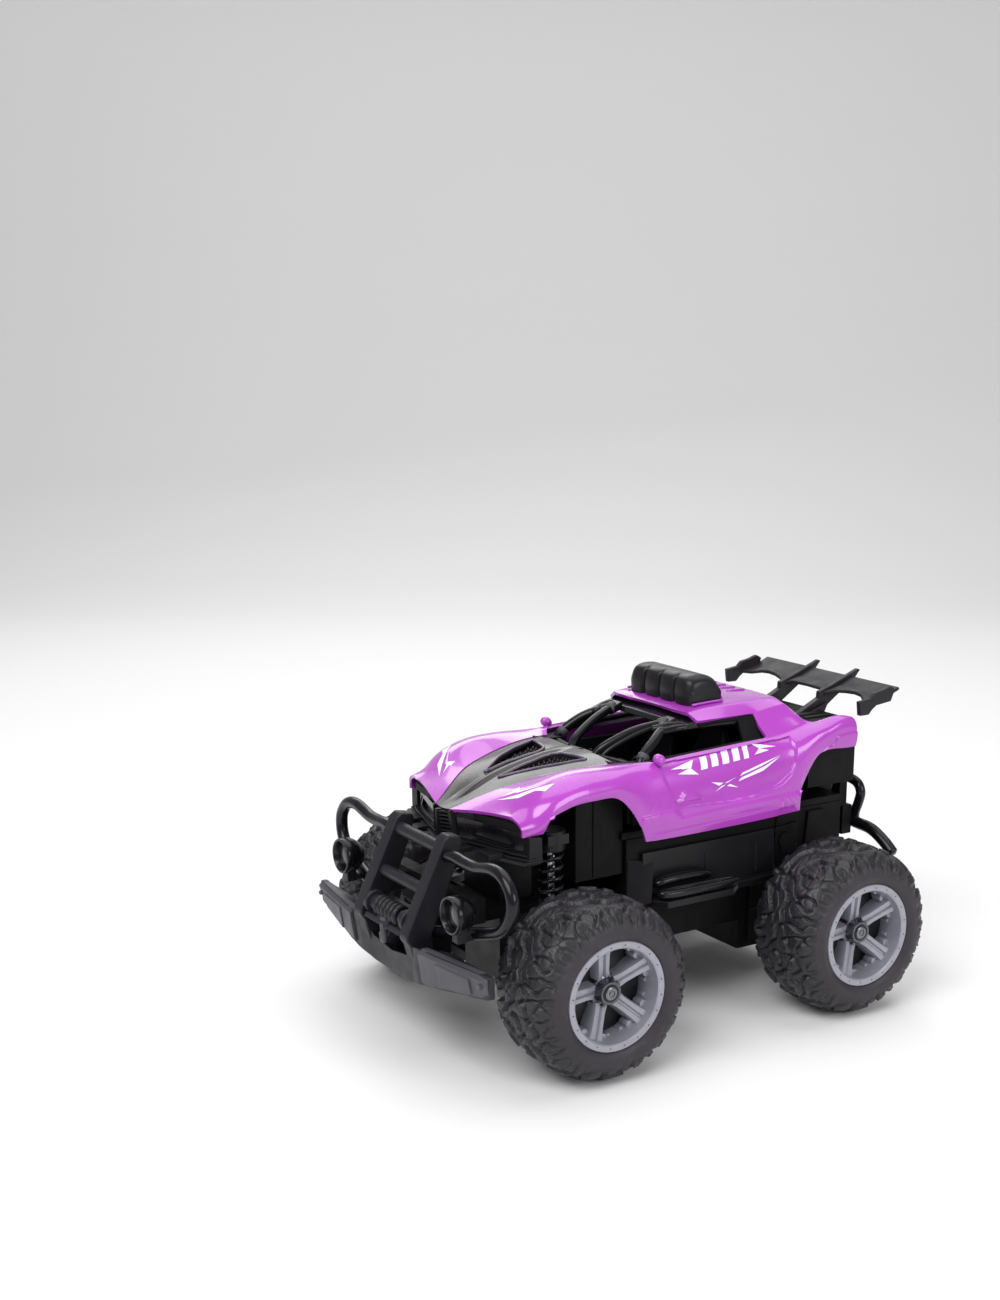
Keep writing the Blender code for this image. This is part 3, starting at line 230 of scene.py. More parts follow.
def turned(profile, axis, centre, segments=48, ring=False):
    """Turn (along, radius) points round an axis; a ring profile closes on itself."""
    cx, cy, cz = centre
    points, rows = [], []
    for along, radius in profile:
        if radius < 1e-6:
            rows.append([len(points)] * segments)
            points.append((along, 0.0, 0.0))
        else:
            rows.append(list(range(len(points), len(points) + segments)))
            points += [(along, b, c) for b, c in circle(radius, segments)]
    pairs = list(zip(rows, rows[1:])) + ([(rows[-1], rows[0])] if ring else [])
    quads = [tuple(dict.fromkeys(quad)) for lower, upper in pairs for quad in band(lower, upper)]
    faces = [quad for quad in quads if len(quad) > 2]
    if not ring:
        faces += [tuple(row) for row in (rows[0], rows[-1]) if row[0] != row[1]]
    put = {"x": lambda a, b, c: (cx + a, cy + b, cz + c), "y": lambda a, b, c: (cx + b, cy + a, cz + c),
           "z": lambda a, b, c: (cx + b, cy + c, cz + a)}[axis]
    return [put(*p) for p in points], faces


def rod(axis, centre, radius, start, end, segments=32, round_off=0.3):
    """Round bar whose two end edges are eased."""
    x, y, z = centre
    on_axis = {"x": (0.0, y, z), "y": (x, 0.0, z), "z": (x, y, 0.0)}[axis]
    low, high = min(start, end), max(start, end)
    e = min(round_off, radius * 0.4)
    profile = [(low, 0.0), (low, radius - e), (low + e * 0.3, radius - e * 0.3), (low + e, radius),
               (high - e, radius), (high - e * 0.3, radius - e * 0.3), (high, radius - e), (high, 0.0)]
    return turned(profile, axis, on_axis, segments)


def smooth_path(route, steps=8, closed=False):
    """Catmull-Rom curve through the route's points."""
    count = len(route)
    knots = [Vector(p) for p in route]
    path = []
    for i in range(count if closed else count - 1):
        if closed:
            p0, p1, p2, p3 = (knots[(i + k) % count] for k in (-1, 0, 1, 2))
        else:
            p1, p2 = knots[i], knots[i + 1]
            p0 = knots[i - 1] if i else 2 * p1 - p2
            p3 = knots[i + 2] if i + 2 < count else 2 * p2 - p1
        for s in range(steps):
            t = s / steps
            path.append(0.5 * ((2 * p1) + (p2 - p0) * t + (2 * p0 - 5 * p1 + 4 * p2 - p3) * t * t
                               + (3 * p1 - p0 - 3 * p2 + p3) * t ** 3))
    if not closed:
        path.append(knots[-1])
    return path


def tube(route, radius, sides=20, steps=8, closed=False):
    """Round tube along a smooth curve; its ends are domed."""
    path = smooth_path(route, steps, closed)
    last = len(path) - 1
    points, rings = [], []
    normal = None
    for i, here in enumerate(path):
        if closed:
            ahead = (path[(i + 1) % len(path)] - path[i - 1]).normalized()
        else:
            ahead = (path[min(i + 1, last)] - path[max(i - 1, 0)]).normalized()
        if normal is None:
            helper = Vector((0, 0, 1)) if abs(ahead.z) < 0.9 else Vector((0, 1, 0))
            normal = ahead.cross(helper).normalized()
        else:
            normal = (normal - ahead * normal.dot(ahead)).normalized()
        side = ahead.cross(normal)
        stations = [(here, 1)]
        if not closed and i == 0:
            stations.insert(0, (here - ahead * radius * 0.35, 0.55))
        if not closed and i == last:
            stations.append((here + ahead * radius * 0.35, 0.55))
        for centre, grow in stations:
            rings.append(range(len(points), len(points) + sides))
            points += [tuple(centre + a * normal + b * side) for a, b in circle(radius * grow, sides)]
    faces = [face for lower, upper in zip(rings, rings[1:]) for face in band(lower, upper)]
    if closed:
        faces += band(rings[-1], rings[0])
    else:
        faces += [tuple(reversed(rings[0])), tuple(rings[-1])]
    return points, faces


def mirrored(solid):
    points, faces = solid
    return [(-x, y, z) for x, y, z in points], [tuple(reversed(f)) for f in faces]


def both(*solids):
    return [s for solid in solids for s in (solid, mirrored(solid))]


def handed(solids, side):
    """Solids that are drawn on the car's left, for either side."""
    return solids if side > 0 else [mirrored(solid) for solid in solids]


# --------------------------------------------------------------------- objects
def link_object(name, data, look=None):
    item = bpy.data.objects.new(name, data)
    bpy.context.collection.objects.link(item)
    if look:
        data.materials.append(LOOK[look])
    return item


def outward_bmesh(data):
    work = bmesh.new()
    work.from_mesh(data)
    bmesh.ops.recalc_face_normals(work, faces=work.faces)
    return work


def from_bmesh(name, work, look):
    data = bpy.data.meshes.new(name)
    work.to_mesh(data)
    work.free()
    data.shade_smooth()
    return link_object(name, data, look)


def build(name, solids, look):
    """One mesh object from closed solids given in millimetres."""
    work = bmesh.new()
    for points, faces in solids:
        verts = [work.verts.new((x * MM, y * MM, z * MM)) for x, y, z in points]
        made = [work.faces.new([verts[i] for i in face]) for face in faces]
        bmesh.ops.recalc_face_normals(work, faces=made)
    return from_bmesh(name, work, look)


def ease(item, width=0.3, angle=32, segments=2):
    """Round the edges of a moulding and keep its flats flat."""
    bevel = item.modifiers.new("ease", "BEVEL")
    bevel.width = width * MM
    bevel.segments = segments
    bevel.limit_method = "ANGLE"
    bevel.angle_limit = math.radians(angle)
    bevel.harden_normals = False
    even = item.modifiers.new("even", "WEIGHTED_NORMAL")
    even.keep_sharp = True
    even.weight = 80
    return item


def sharp(item, angle=35):
    item.data.set_sharp_from_angle(angle=math.radians(angle))
    return item


def settle(item):
    """Apply the modifiers, so that the mesh is what shows."""
    graph = bpy.context.evaluated_depsgraph_get()
    done = bpy.data.meshes.new_from_object(item.evaluated_get(graph))
    old = item.data
    item.modifiers.clear()
    item.data = done
    bpy.data.meshes.remove(old)
    return item


def carve(item, tools):
    """Cut closed solids out of an object and apply the result."""
    helpers = [build(f"{item.name}_tool_{n}", [solid], "mesh") for n, solid in enumerate(tools)]
    for helper in helpers:
        cut = item.modifiers.new("cut", "BOOLEAN")
        cut.operation = "DIFFERENCE"
        cut.solver = "EXACT"
        cut.object = helper
    settle(item)
    for helper in helpers:
        bpy.data.objects.remove(helper, do_unlink=True)
    item.data.shade_smooth()
    return item


def rounded_cage(name, points, faces, look, level=4, crease=None, corners=()):
    """Smooth surface that passes through every point of a coarse control mesh."""
    data = bpy.data.meshes.new(name)
    data.from_pydata([Vector(p) * MM for p in points], [], faces)
    work = outward_bmesh(data)
    if sum(face.normal.z * face.calc_area() for face in work.faces) < 0:
        bmesh.ops.reverse_faces(work, faces=work.faces)
    if crease:
        layer = work.edges.layers.float.new("crease_edge")
        for edge in work.edges:
            edge[layer] = crease(*[v.co / MM for v in edge.verts])
        pins = work.verts.layers.float.new("crease_vert")
        for vert in work.verts:
            left = Vector((abs(vert.co.x), *vert.co.yz)) / MM
            if any((left - Vector(c)).length < 0.3 for c in corners):
                vert[pins] = 1.0
    work.to_mesh(data)
    work.free()
    item = link_object(name, data, look)
    rounding = item.modifiers.new("round", "SUBSURF")
    rounding.levels = rounding.render_levels = level
    rounding.boundary_smooth = "PRESERVE_CORNERS"
    goal = np.array([Vector(p) * MM for p in points])
    for _ in range(4):
        graph = bpy.context.evaluated_depsgraph_get()
        limit = item.evaluated_get(graph).data
        got = np.empty(len(limit.vertices) * 3)
        limit.vertices.foreach_get("co", got)
        now = np.array([v.co for v in data.vertices])
        now += goal - got.reshape(-1, 3)[:len(goal)]
        data.vertices.foreach_set("co", now.ravel())
        data.update()
    settle(item)
    item.data.shade_smooth()
    return item


def thicken(item, thickness):
    wall = item.modifiers.new("wall", "SOLIDIFY")
    wall.thickness = thickness * MM
    wall.offset = -1.0
    wall.use_even_offset = False
    settle(item)
    item.data.shade_smooth()
    item.data.set_sharp_from_angle(angle=math.radians(50))
    return item


def place(item, body, slot, *nodes):
    """Ride on a body and stand for CAD nodes, which it hides; the slot is not used."""
    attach(item, body)
    if nodes:
        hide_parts(*nodes)
    return item


def mould(name, solids, look, width, slot, *nodes, body="chassis", angle=32, segments=2):
    """Build a piece, ease its edges by a width (0: not at all) and put it on its body."""
    item = build(name, solids, look)
    if width:
        ease(item, width, angle, segments)
    return place(item, body, slot, *nodes)


def step(low, high, value):
    """Smooth 0 to 1 ramp."""
    t = min(1, max(0.0, (value - low) / (high - low)))
    return t * t * (3 - 2 * t)


def inside(outline, a, b):
    """Signed distance into a 2-D outline: positive inside, in the outline's own unit."""
    best, within = 1e9, False
    count = len(outline)
    for i in range(count):
        (x0, y0), (x1, y1) = outline[i], outline[(i + 1) % count]
        dx, dy = x1 - x0, y1 - y0
        t = max(0.0, min(1, ((a - x0) * dx + (b - y0) * dy) / (dx * dx + dy * dy)))
        best = min(best, math.hypot(a - x0 - t * dx, b - y0 - t * dy))
        if (y0 > b) != (y1 > b) and a < dx * (b - y0) / dy + x0:
            within = not within
    return best if within else -best


# ------------------------------------------------------------------ body shell
# Half outlines across the car, from the bonnet insert's edge out and down.
FRONT_ROWS = [
    [(5, -82, 86.9), (16, -79.2, 88.6), (27, -76.4, 89.6), (36, -74.8, 90.2), (39.4, -74.2, 88.8),
     (41, -73.8, 87.2), (41.5, -73.5, 86), (41.7, -73.4, 84.8), (41.7, -73.4, 83.5)],
    [(12.4, -70, 92.9), (20, -70, 93.1), (28, -69.5, 93.2), (35, -69, 92.8), (40.3, -68, 90.8),
     (42.3, -67, 88.6), (42.9, -66.3, 87), (43, -65.8, 85.6), (42.6, -65.4, 84)],
    [(16.8, -62, 95.9), (24, -62, 97), (31, -62, 97.8), (37, -62, 97.2), (41.4, -62, 95.2),
     (43, -62, 93.2), (43.6, -62, 91.8), (43.7, -62, 90.7), (43.4, -62.2, 89.6)],
    [(19.5, -52, 98.5), (26, -52, 100.3), (32, -52, 101.6), (38, -52, 100.8), (42.2, -52, 98.6),
     (43.7, -52, 96.4), (44.1, -52, 94.9), (44, -52, 93.8), (43.6, -52, 92.7)],
    [(22.5, -42, 100), (28, -42, 101.6), (33, -42, 102.6), (38.2, -42, 101.8), (42, -42, 99.4),
     (43.6, -42, 97.2), (44, -42, 95.5), (43.9, -42, 94.2), (43.5, -42, 93.1)],
    [(25.1, -33, 100.8), (30, -33, 101.9), (34, -33, 102.4), (38.2, -33, 101.8), (41.8, -33, 99.4),
     (43.4, -33, 97.2), (43.8, -33, 95.4), (43.7, -33, 93.7), (43.4, -33.4, 92)],
    [(27, -24.5, 100.9), (31, -24, 101.6), (34.5, -23.5, 102), (37.6, -23.5, 101.4),
     (41, -24, 98.4), (42.9, -24.3, 94.6), (43.6, -24.8, 91), (43.9, -25.2, 87.2),
     (43.7, -25.8, 83.4)],
    [(28.4, -18.5, 100.4), (32, -16.5, 101.2), (35, -14.5, 101.9), (37, -13.5, 101.9),
     (40.9, -15, 98.4), (42.9, -16.5, 93.6), (43.8, -18, 88.6), (44.4, -20, 82),
     (43.8, -22, 74.6)],
]
# Door and rear quarter, from the window sill out and down.
SIDE_ROWS = [
    [(36.8, -4, 102.6), (41.1, -4, 98.8), (43.2, -4, 93.2), (44, -4, 87.4), (44.6, -4, 81.6),
     (43.8, -4, 74.5)],
    [(36.7, 10, 103.2), (41, 10, 99.2), (43.2, 10, 93.6), (44, 10, 87.6), (44.6, 10, 81.6),
     (43.8, 10, 74.6)],
    [(36.6, 25, 103.9), (40.9, 25, 99.8), (43.1, 25, 94.2), (44, 25, 88), (44.6, 25, 81.6),
     (43.8, 25, 74.8)],
    [(36.5, 39.5, 104.6), (40.8, 39.5, 100.6), (43, 39.5, 95.4), (43.8, 39.5, 89),
     (44.5, 39.5, 81.8), (43.8, 39.5, 75.2)],
    [(36.4, 50, 105.3), (40.8, 50, 102), (43, 49, 97.6), (43.8, 48.8, 91.8),
     (44.5, 49.8, 83.2), (43.8, 51.2, 75.7)],
    [(36.6, 58, 107), (41, 57, 104.8), (43.2, 56, 101.6), (43.9, 54.6, 97.2),
     (44, 53, 91), (43.7, 51.6, 83)],
    [(37.4, 62, 107.9), (41.4, 61.6, 106.4), (43.3, 61, 104.2), (43.9, 60, 101),
     (43.9, 58.6, 97), (43.4, 57, 92)],
    [(38.2, 66.5, 108.7), (41.8, 66.5, 107.4), (43.5, 66, 105.4), (43.9, 65.4, 103),
     (43.8, 64.6, 100.2), (43.3, 63.4, 97.6)],
    [(40, 73, 110), (42.6, 73, 109), (43.8, 73, 106.8), (44, 73, 103.8),
     (43.8, 73, 100.6), (43.2, 73, 97.6)],
    [(41.2, 79, 109), (43, 79.4, 107.8), (43.9, 79.6, 105.6), (44, 79.7, 103),
     (43.8, 79.7, 100.4), (43.2, 79.6, 97.6)],
]
# Roof and rear slope, from the centre line out to the pillar.
ROOF_ROWS = [
    [(0, 11.8, 115), (14, 11.2, 115), (24.5, 10.8, 115.3), (29, 12.2, 112.9)],
    [(0, 20, 117.2), (14, 20, 117.1), (24.5, 20, 116.4), (29, 21, 112.8)],
    [(0, 38.6, 117.8), (14, 38.6, 117.7), (24.5, 38.6, 116.7), (28.8, 38.8, 112.6),
     (32.6, 39.2, 108.6)],
    [(0, 46, 117.6), (14, 46, 117.5), (24.7, 46, 116.9), (29.4, 46.2, 114.2), (33, 48, 110)],
    [(0, 53, 117.2), (14, 53, 117.2), (25, 52.8, 116.9), (30.4, 53.4, 115), (34, 56, 110.8)],
    [(0, 60, 111.8), (13, 60, 111.8), (23.5, 60, 111.7), (29.5, 60.3, 110.4), (33.8, 61, 108.4)],
    [(0, 66.4, 105.6), (12, 66.4, 105.6), (22.5, 66.4, 105.4), (30, 66.4, 104.6),
     (34.2, 66.4, 106.8)],
    [None, None, None, (30, 73, 103.8), (36, 73, 108.2)],
    [None, None, None, (30.4, 79, 103.2), (37.2, 79, 107.2)],
]
SILL = [(-23.5, 83.9), (-9, 84.8), (-6.1, 81.5), (18.2, 82.4), (50.4, 83), (56, 83.2), (56, 60),
        (-30, 60)]
DOOR = [(-14.8, 110), (-12.3, 96.1), (-8.8, 87.6), (-6.6, 85.6), (4.7, 85.1), (18.5, 84.3),
        (30.5, 85), (38, 86.2), (42.7, 87.7), (47, 90.6), (49.4, 94.8), (50, 99), (49.8, 110)]
BADGE = [(-6.6, 86.9), (-4.1, 90.3), (1.2, 89.6), (3.9, 87)]
NOTCH = [(61.7, 96.7), (65.3, 99.1), (68, 99.3), (69.9, 102.7), (75.3, 103.3), (82, 103.5), (82, 90),
         (60, 90)]
RIBS = (41.3, 44.4, 47.5)


def side_relief(y, z):
    """How far the door, sill and quarter mouldings stand out of the side, in millimetres."""
    out = -0.95 * step(-0.35, 0.35, inside(DOOR, y, z))
    out += 0.6 * step(-0.3, 0.3, inside(SILL, y, z))
    out += 0.7 * step(-0.3, 0.3, inside(BADGE, y, z))
    out += 0.55 * step(-0.35, 0.35, inside(NOTCH, y, z))
    if -19 < y < 40:
        out += 0.35 * step(0.35, -0.35, z - (77.0 + 0.03 * (y + 19)))
    for rib in RIBS:
        if abs(y - rib) < 1.4 and 77 < z < 82.5:
            out += 0.5 * step(0.9, 0.4, abs(y - rib)) * step(1.9, 1.4, abs(z - 79.6))
    return out


def shell_cage():
    points, faces, index = [], [], {}

    def vertex(point, side):
        key = (round(point[0] * side, 3) + 0.0, point[1], point[2])
        if key not in index:
            index[key] = len(points)
            points.append(key)
        return index[key]

    def patch(rows, side):
        for upper, lower in zip(rows, rows[1:]):
            for k in range(len(upper) - 1):
                corners = (upper[k], upper[k + 1], lower[k + 1], lower[k])
                if None in corners:
                    continue
                face = [vertex(c, side) for c in corners]
                faces.append(tuple(face[::-1]) if side > 0 else tuple(face))

    for side in (1, -1):
        patch(FRONT_ROWS, side)
        patch([FRONT_ROWS[-1][3:]] + SIDE_ROWS, side)
        patch([row[:4] for row in ROOF_ROWS[:7]], side)
        patch([[row[3], row[4], SIDE_ROWS[3 + n][0]] for n, row in enumerate(ROOF_ROWS[2:])], side)
    return points, faces


def shell_crease(a, b):
    """Crisp lines of the moulding: roof ridge and break, pillar edge, window sill."""
    ridge = all(24 < abs(p.x) < 25.4 and p.y > 10 and p.z > 104 for p in (a, b))
    brk = all(abs(p.y - 53) < 0.6 or abs(p.y - 53.4) < 0.1 for p in (a, b)) and min(a.z, b.z) > 110
    pillar = all(28 < abs(p.x) < 34.4 and p.z > 103 and p.y > 37 for p in (a, b)) and abs(a.y - b.y) > 4
    sill = all(abs(p.z - 102) < 9 and 36.2 < abs(p.x) < 41.3 and p.y > -14 for p in (a, b)) \
        and abs(abs(a.x) - abs(b.x)) < 2 and min(abs(a.x), abs(b.x)) < 40.5
    lengthwise = abs(a.y - b.y) > 3
    return 0.75 if ridge or brk else 0.6 if pillar else 0.45 if sill and lengthwise else 0.0


def build_shell():
    corners = (FRONT_ROWS[0][3], FRONT_ROWS[0][8], FRONT_ROWS[1][8], FRONT_ROWS[2][8], FRONT_ROWS[7][8],
               SIDE_ROWS[4][5], SIDE_ROWS[5][5])
    item = rounded_cage("shell_moulding", *shell_cage(), "purple", crease=shell_crease, corners=corners)
    for v, normal in [(v, v.normal.copy()) for v in item.data.vertices]:
        x, y, z = (c / MM for c in v.co)
        if abs(x) > 38 and y > -25:
            v.co += Vector((math.copysign(1, x), 0, normal.z * 0.3)) * side_relief(y, z) * MM
    thicken(item, SHELL_WALL)
    tree = BVHTree.FromObject(item, bpy.context.evaluated_depsgraph_get())
    place(item, "chassis", "body_purple", "body_shell")

    points, faces = turned([(-2.6, 0), (-2.3, 1), (-1.4, 1.9), (0, 2.3), (1.3, 1.9), (2, 1.1), (2.3, 0)],
                           "y", (38.6, -12.4, 103), 24)
    knob = [(x, y + (z - 103) * -0.25, z) for x, y, z in points], faces
    stalk = tube([(38.4, -12, 101.4), (38.5, -12.2, 102.4), (38.6, -12.4, 103.2)], 1.7, 16, 3)
    mould("shell_mirror_stubs", both(knob, stalk), "purple", 0, "body_purple")

    lines = both(*[tube([(x, y0, 117.2), (x, (y0 + y1) / 2, 117.5), (x, y1, 117.6)], 0.5, 10, 4)
                   for y0, y1, x in ((17, 33, 17), (15.5, 30, 21.3))])
    lines += [tube([(x, 42, 117.75), (x, 46, 117.7), (x, 50.5, 117.45)], 0.55, 10, 3) for x in (-9, -3, 3, 9)]
    mould("roof_ribs", lines, "purple", 0, "body_purple")

    visor = both(*[box((x0, reach, 113.6), (x1, reach + 4, top))
                   for x0, x1, reach, top in ((12.8, 24.4, 11.4, 115.4), (3.4, 12.8, 12.4, 115.7))])
    visor.append(box((-3.4, 13.2, 113.6), (3.4, 17.2, 115.8)))
    mould("roof_visor", visor, "purple", 0.5, "body_purple")
    return tree


# Flat graphics on the skin, as convex outlines: (y, z) on the doors, (x, y) on the bonnet.
DOOR_MARKS = [
    [(-8.2, 98.9), (3.2, 100.9), (0.4, 98.6)], [(-5.6, 97.1), (0.4, 98.6), (3.6, 95.9)],
    [(-2.6, 99.4), (3.2, 100.9), (0.9, 98.5), (-3.4, 98.5)],
    [(5, 97.3), (8.2, 97.5), (9.6, 101.5), (6.4, 101.3)],
    [(10.2, 97.7), (13.4, 97.9), (14.8, 101.9), (11.6, 101.7)],
    [(15.4, 98), (18.6, 98.2), (20, 102.3), (16.8, 102.1)],
    [(20.6, 98.4), (23.8, 98.6), (25.2, 102.7), (22, 102.5)],
    [(25.8, 98.7), (28.2, 98.8), (29.6, 103), (27.2, 102.9)],
    [(31.4, 103.4), (42.4, 101.3), (34.4, 101.4)], [(31.2, 99.6), (38.6, 100.4), (34.4, 101.4)],
    [(22.6, 92.9), (23.9, 94), (34, 96.3), (33, 95.2)], [(33, 95.2), (34, 96.3), (43.2, 98.2)],
    [(21.6, 91), (23, 92.2), (34.6, 95), (33.8, 93.4)], [(33.8, 93.4), (34.6, 95), (43, 97.8)],
    [(8.8, 92.4), (14.6, 91.4), (12.4, 90.6)], [(10.6, 88.6), (13.6, 90.4), (15.6, 90.6)],
    [(20.8, 92.8), (16.4, 91.2), (15, 91.2)], [(21.4, 88.8), (16, 90), (17.6, 90.6)],
]
BONNET_MARKS = [
    [(20.4, -70.8), (22.3, -65.7), (24.8, -66.2), (20.9, -70)],
    [(22.3, -65.7), (23.5, -63.2), (26.2, -65.1), (24.8, -66.2)],
    [(26.2, -65.1), (33.2, -60.4), (26.3, -65.9), (24.8, -66.2)],
    [(21, -71.6), (27.5, -66.6), (29.7, -67.5)], [(27.5, -66.6), (33.8, -60.8), (33.5, -62.9), (29.7, -67.5)],
    [(33.8, -60.8), (36.6, -56.8), (37.2, -61.2), (33.5, -62.9)],
]


def drape(tree, name, outlines, axis, pitch=1.1):
    """Thin printed marks laid just clear of both sides of the skin, along X or Z."""
    work = bmesh.new()
    for side, outline in [(side, outline) for side in (1, -1) for outline in outlines]:
        aim = Vector((-side, 0, 0)) if axis == "x" else Vector((0, 0, -1))
        lows = [min(p[i] for p in outline) - pitch for i in (0, 1)]
        highs = [max(p[i] for p in outline) + pitch for i in (0, 1)]
        counts = [max(1, round((h - l) / pitch)) for l, h in zip(lows, highs)]
        patch = bmesh.new()
        grid = [[patch.verts.new((lows[0] + (highs[0] - lows[0]) * i / counts[0],
                                  lows[1] + (highs[1] - lows[1]) * j / counts[1], 0))
                 for j in range(counts[1] + 1)] for i in range(counts[0] + 1)]
        for i in range(counts[0]):
            for j in range(counts[1]):
                patch.faces.new((grid[i][j], grid[i + 1][j], grid[i + 1][j + 1], grid[i][j + 1]))
        middle = Vector((*[sum(p[i] for p in outline) / len(outline) for i in (0, 1)], 0))
        for start, end in zip(outline, outline[1:] + outline[:1]):
            normal = Vector((end[1] - start[1], start[0] - end[0], 0))
            if (middle - Vector((*start, 0))).dot(normal) > 0:
                normal = -normal
            bmesh.ops.bisect_plane(patch, geom=patch.verts[:] + patch.edges[:] + patch.faces[:],
                                   plane_co=(*start, 0), plane_no=normal, clear_outer=True)
        verts = {}
        for v in patch.verts:
            a, b = v.co.x, v.co.y
            start = Vector((70 * side, a, b)) if axis == "x" else Vector((a * side, b, 150))
            hit = tree.ray_cast(start * MM, aim)[0]
            if hit is not None:
                verts[v] = work.verts.new(hit - aim * PRINT_LIFT)
        for face in patch.faces:
            if all(v in verts for v in face.verts):
                work.faces.new([verts[v] for v in face.verts])
        patch.free()
    bmesh.ops.recalc_face_normals(work, faces=work.faces)
    for face in work.faces:
        facing = face.normal.x * face.calc_center_median().x if axis == "x" else face.normal.z
        if facing < 0:
            face.normal_flip()
    return place(from_bmesh(name, work, "decal"), "chassis", "body_purple")


BONNET_ROWS = [
    [(0, -82.3, 86.6), (2.4, -82.2, 86.7), (4.6, -81.9, 86.9)],
    [(0, -78, 88.3), (4, -78, 88.6), (8, -77.6, 88.9)],
    [(0, -70, 91.8), (6.2, -70, 92.2), (12.1, -70, 92.6)],
    [(0, -62, 95.3), (8.6, -62, 95.7), (16.5, -62, 95.6)],
    [(0, -52, 98.2), (10.4, -52, 98.7), (19.2, -52, 98.3)],
    [(0, -42, 100.2), (12, -42, 100.6), (22.2, -42, 99.8)],
    [(0, -33, 101.7), (13, -33, 101.9), (24.8, -33, 100.6)],
    [(0, -26.5, 102.4), (14, -25.5, 102.4), (26.7, -24.4, 100.8)],
]
VENT = [(5, -61), (3.4, -38), (5.6, -34.6), (18.4, -31.4), (18, -33.6), (15.6, -42),
        (11.6, -51)]


def bonnet_height(x, y):
    """Height of the bonnet insert over a point of the plan."""
    rows = BONNET_ROWS
    for low, high in zip(rows, rows[1:]):
        if low[0][1] <= y <= high[0][1]:
            t = (y - low[0][1]) / (high[0][1] - low[0][1])
            xs = [a[0] + (b[0] - a[0]) * t for a, b in zip(low, high)]
            zs = [a[2] + (b[2] - a[2]) * t for a, b in zip(low, high)]
            return float(np.interp(abs(x), xs, zs))
    return rows[-1][0][2]


def build_bonnet():
    points, faces = [], []
    for row in BONNET_ROWS:
        points += [(-x, y, z) for x, y, z in reversed(row[1:])] + row
    width = 2 * len(BONNET_ROWS[0]) - 1
    for r in range(len(BONNET_ROWS) - 1):
        for a in range(r * width, r * width + width - 1):
            faces.append((a + width, a + width + 1, a + 1, a))
    item = rounded_cage("bonnet_insert", points, faces, "gunmetal")
    for v in item.data.vertices:
        x, y = abs(v.co.x) / MM, v.co.y / MM
        spine = 0.9 * step(3.2, 0.4, x) * step(-84, -62, y) * step(-22, -40, y)
        shoulder = -0.7 * step(-0.6, 1.2, inside(VENT, x, y))
        v.co.z += (spine + shoulder) * MM
    thicken(item, BONNET_WALL)
    carve(item, both(prism(VENT, "z", 90, 108)))
    place(sharp(item, 40), "chassis", "gunmetal", "hood_panel")

    loop = []
    for start, end in zip(VENT, VENT[1:] + VENT[:1]):
        parts = max(1, round(math.dist(start, end) / 5))
        for n in range(parts):
            x, y = (start[k] + (end[k] - start[k]) * n / parts for k in (0, 1))
            loop.append((x, y, bonnet_height(x, y) + 0.15))
    # The rims' purple tint is a painted reflection of the shell.
    mould("vent_rims", both(tube(loop, 0.62, 10, 3, True)), "vent_rim", 0, "gunmetal")
    floor = sections([[(x, y, bonnet_height(x, y) - depth) for x, y in VENT] for depth in (2.6, 3.6)])
    spikes = []
    for k in range(11):
        y = -57.5 + 2.35 * k
        z = bonnet_height(8, y) - 2.4
        low, high = 4.4 - 0.047 * k, 7.6 + 0.893 * k
        for n in range(int((high - low) / 2.2)):
            x = low + 1.1 + 2.2 * n
            corners = [(x - 0.9, y - 0.7, z), (x + 0.9, y - 0.7, z), (x, y + 1.1, z), (x, y - 0.3, z + 1.7)]
            spikes.append((corners, [(0, 1, 2), (0, 1, 3), (1, 2, 3), (2, 0, 3)]))
    mould("vent_mesh", both(floor, *spikes), "mesh", 0, "satin_black")


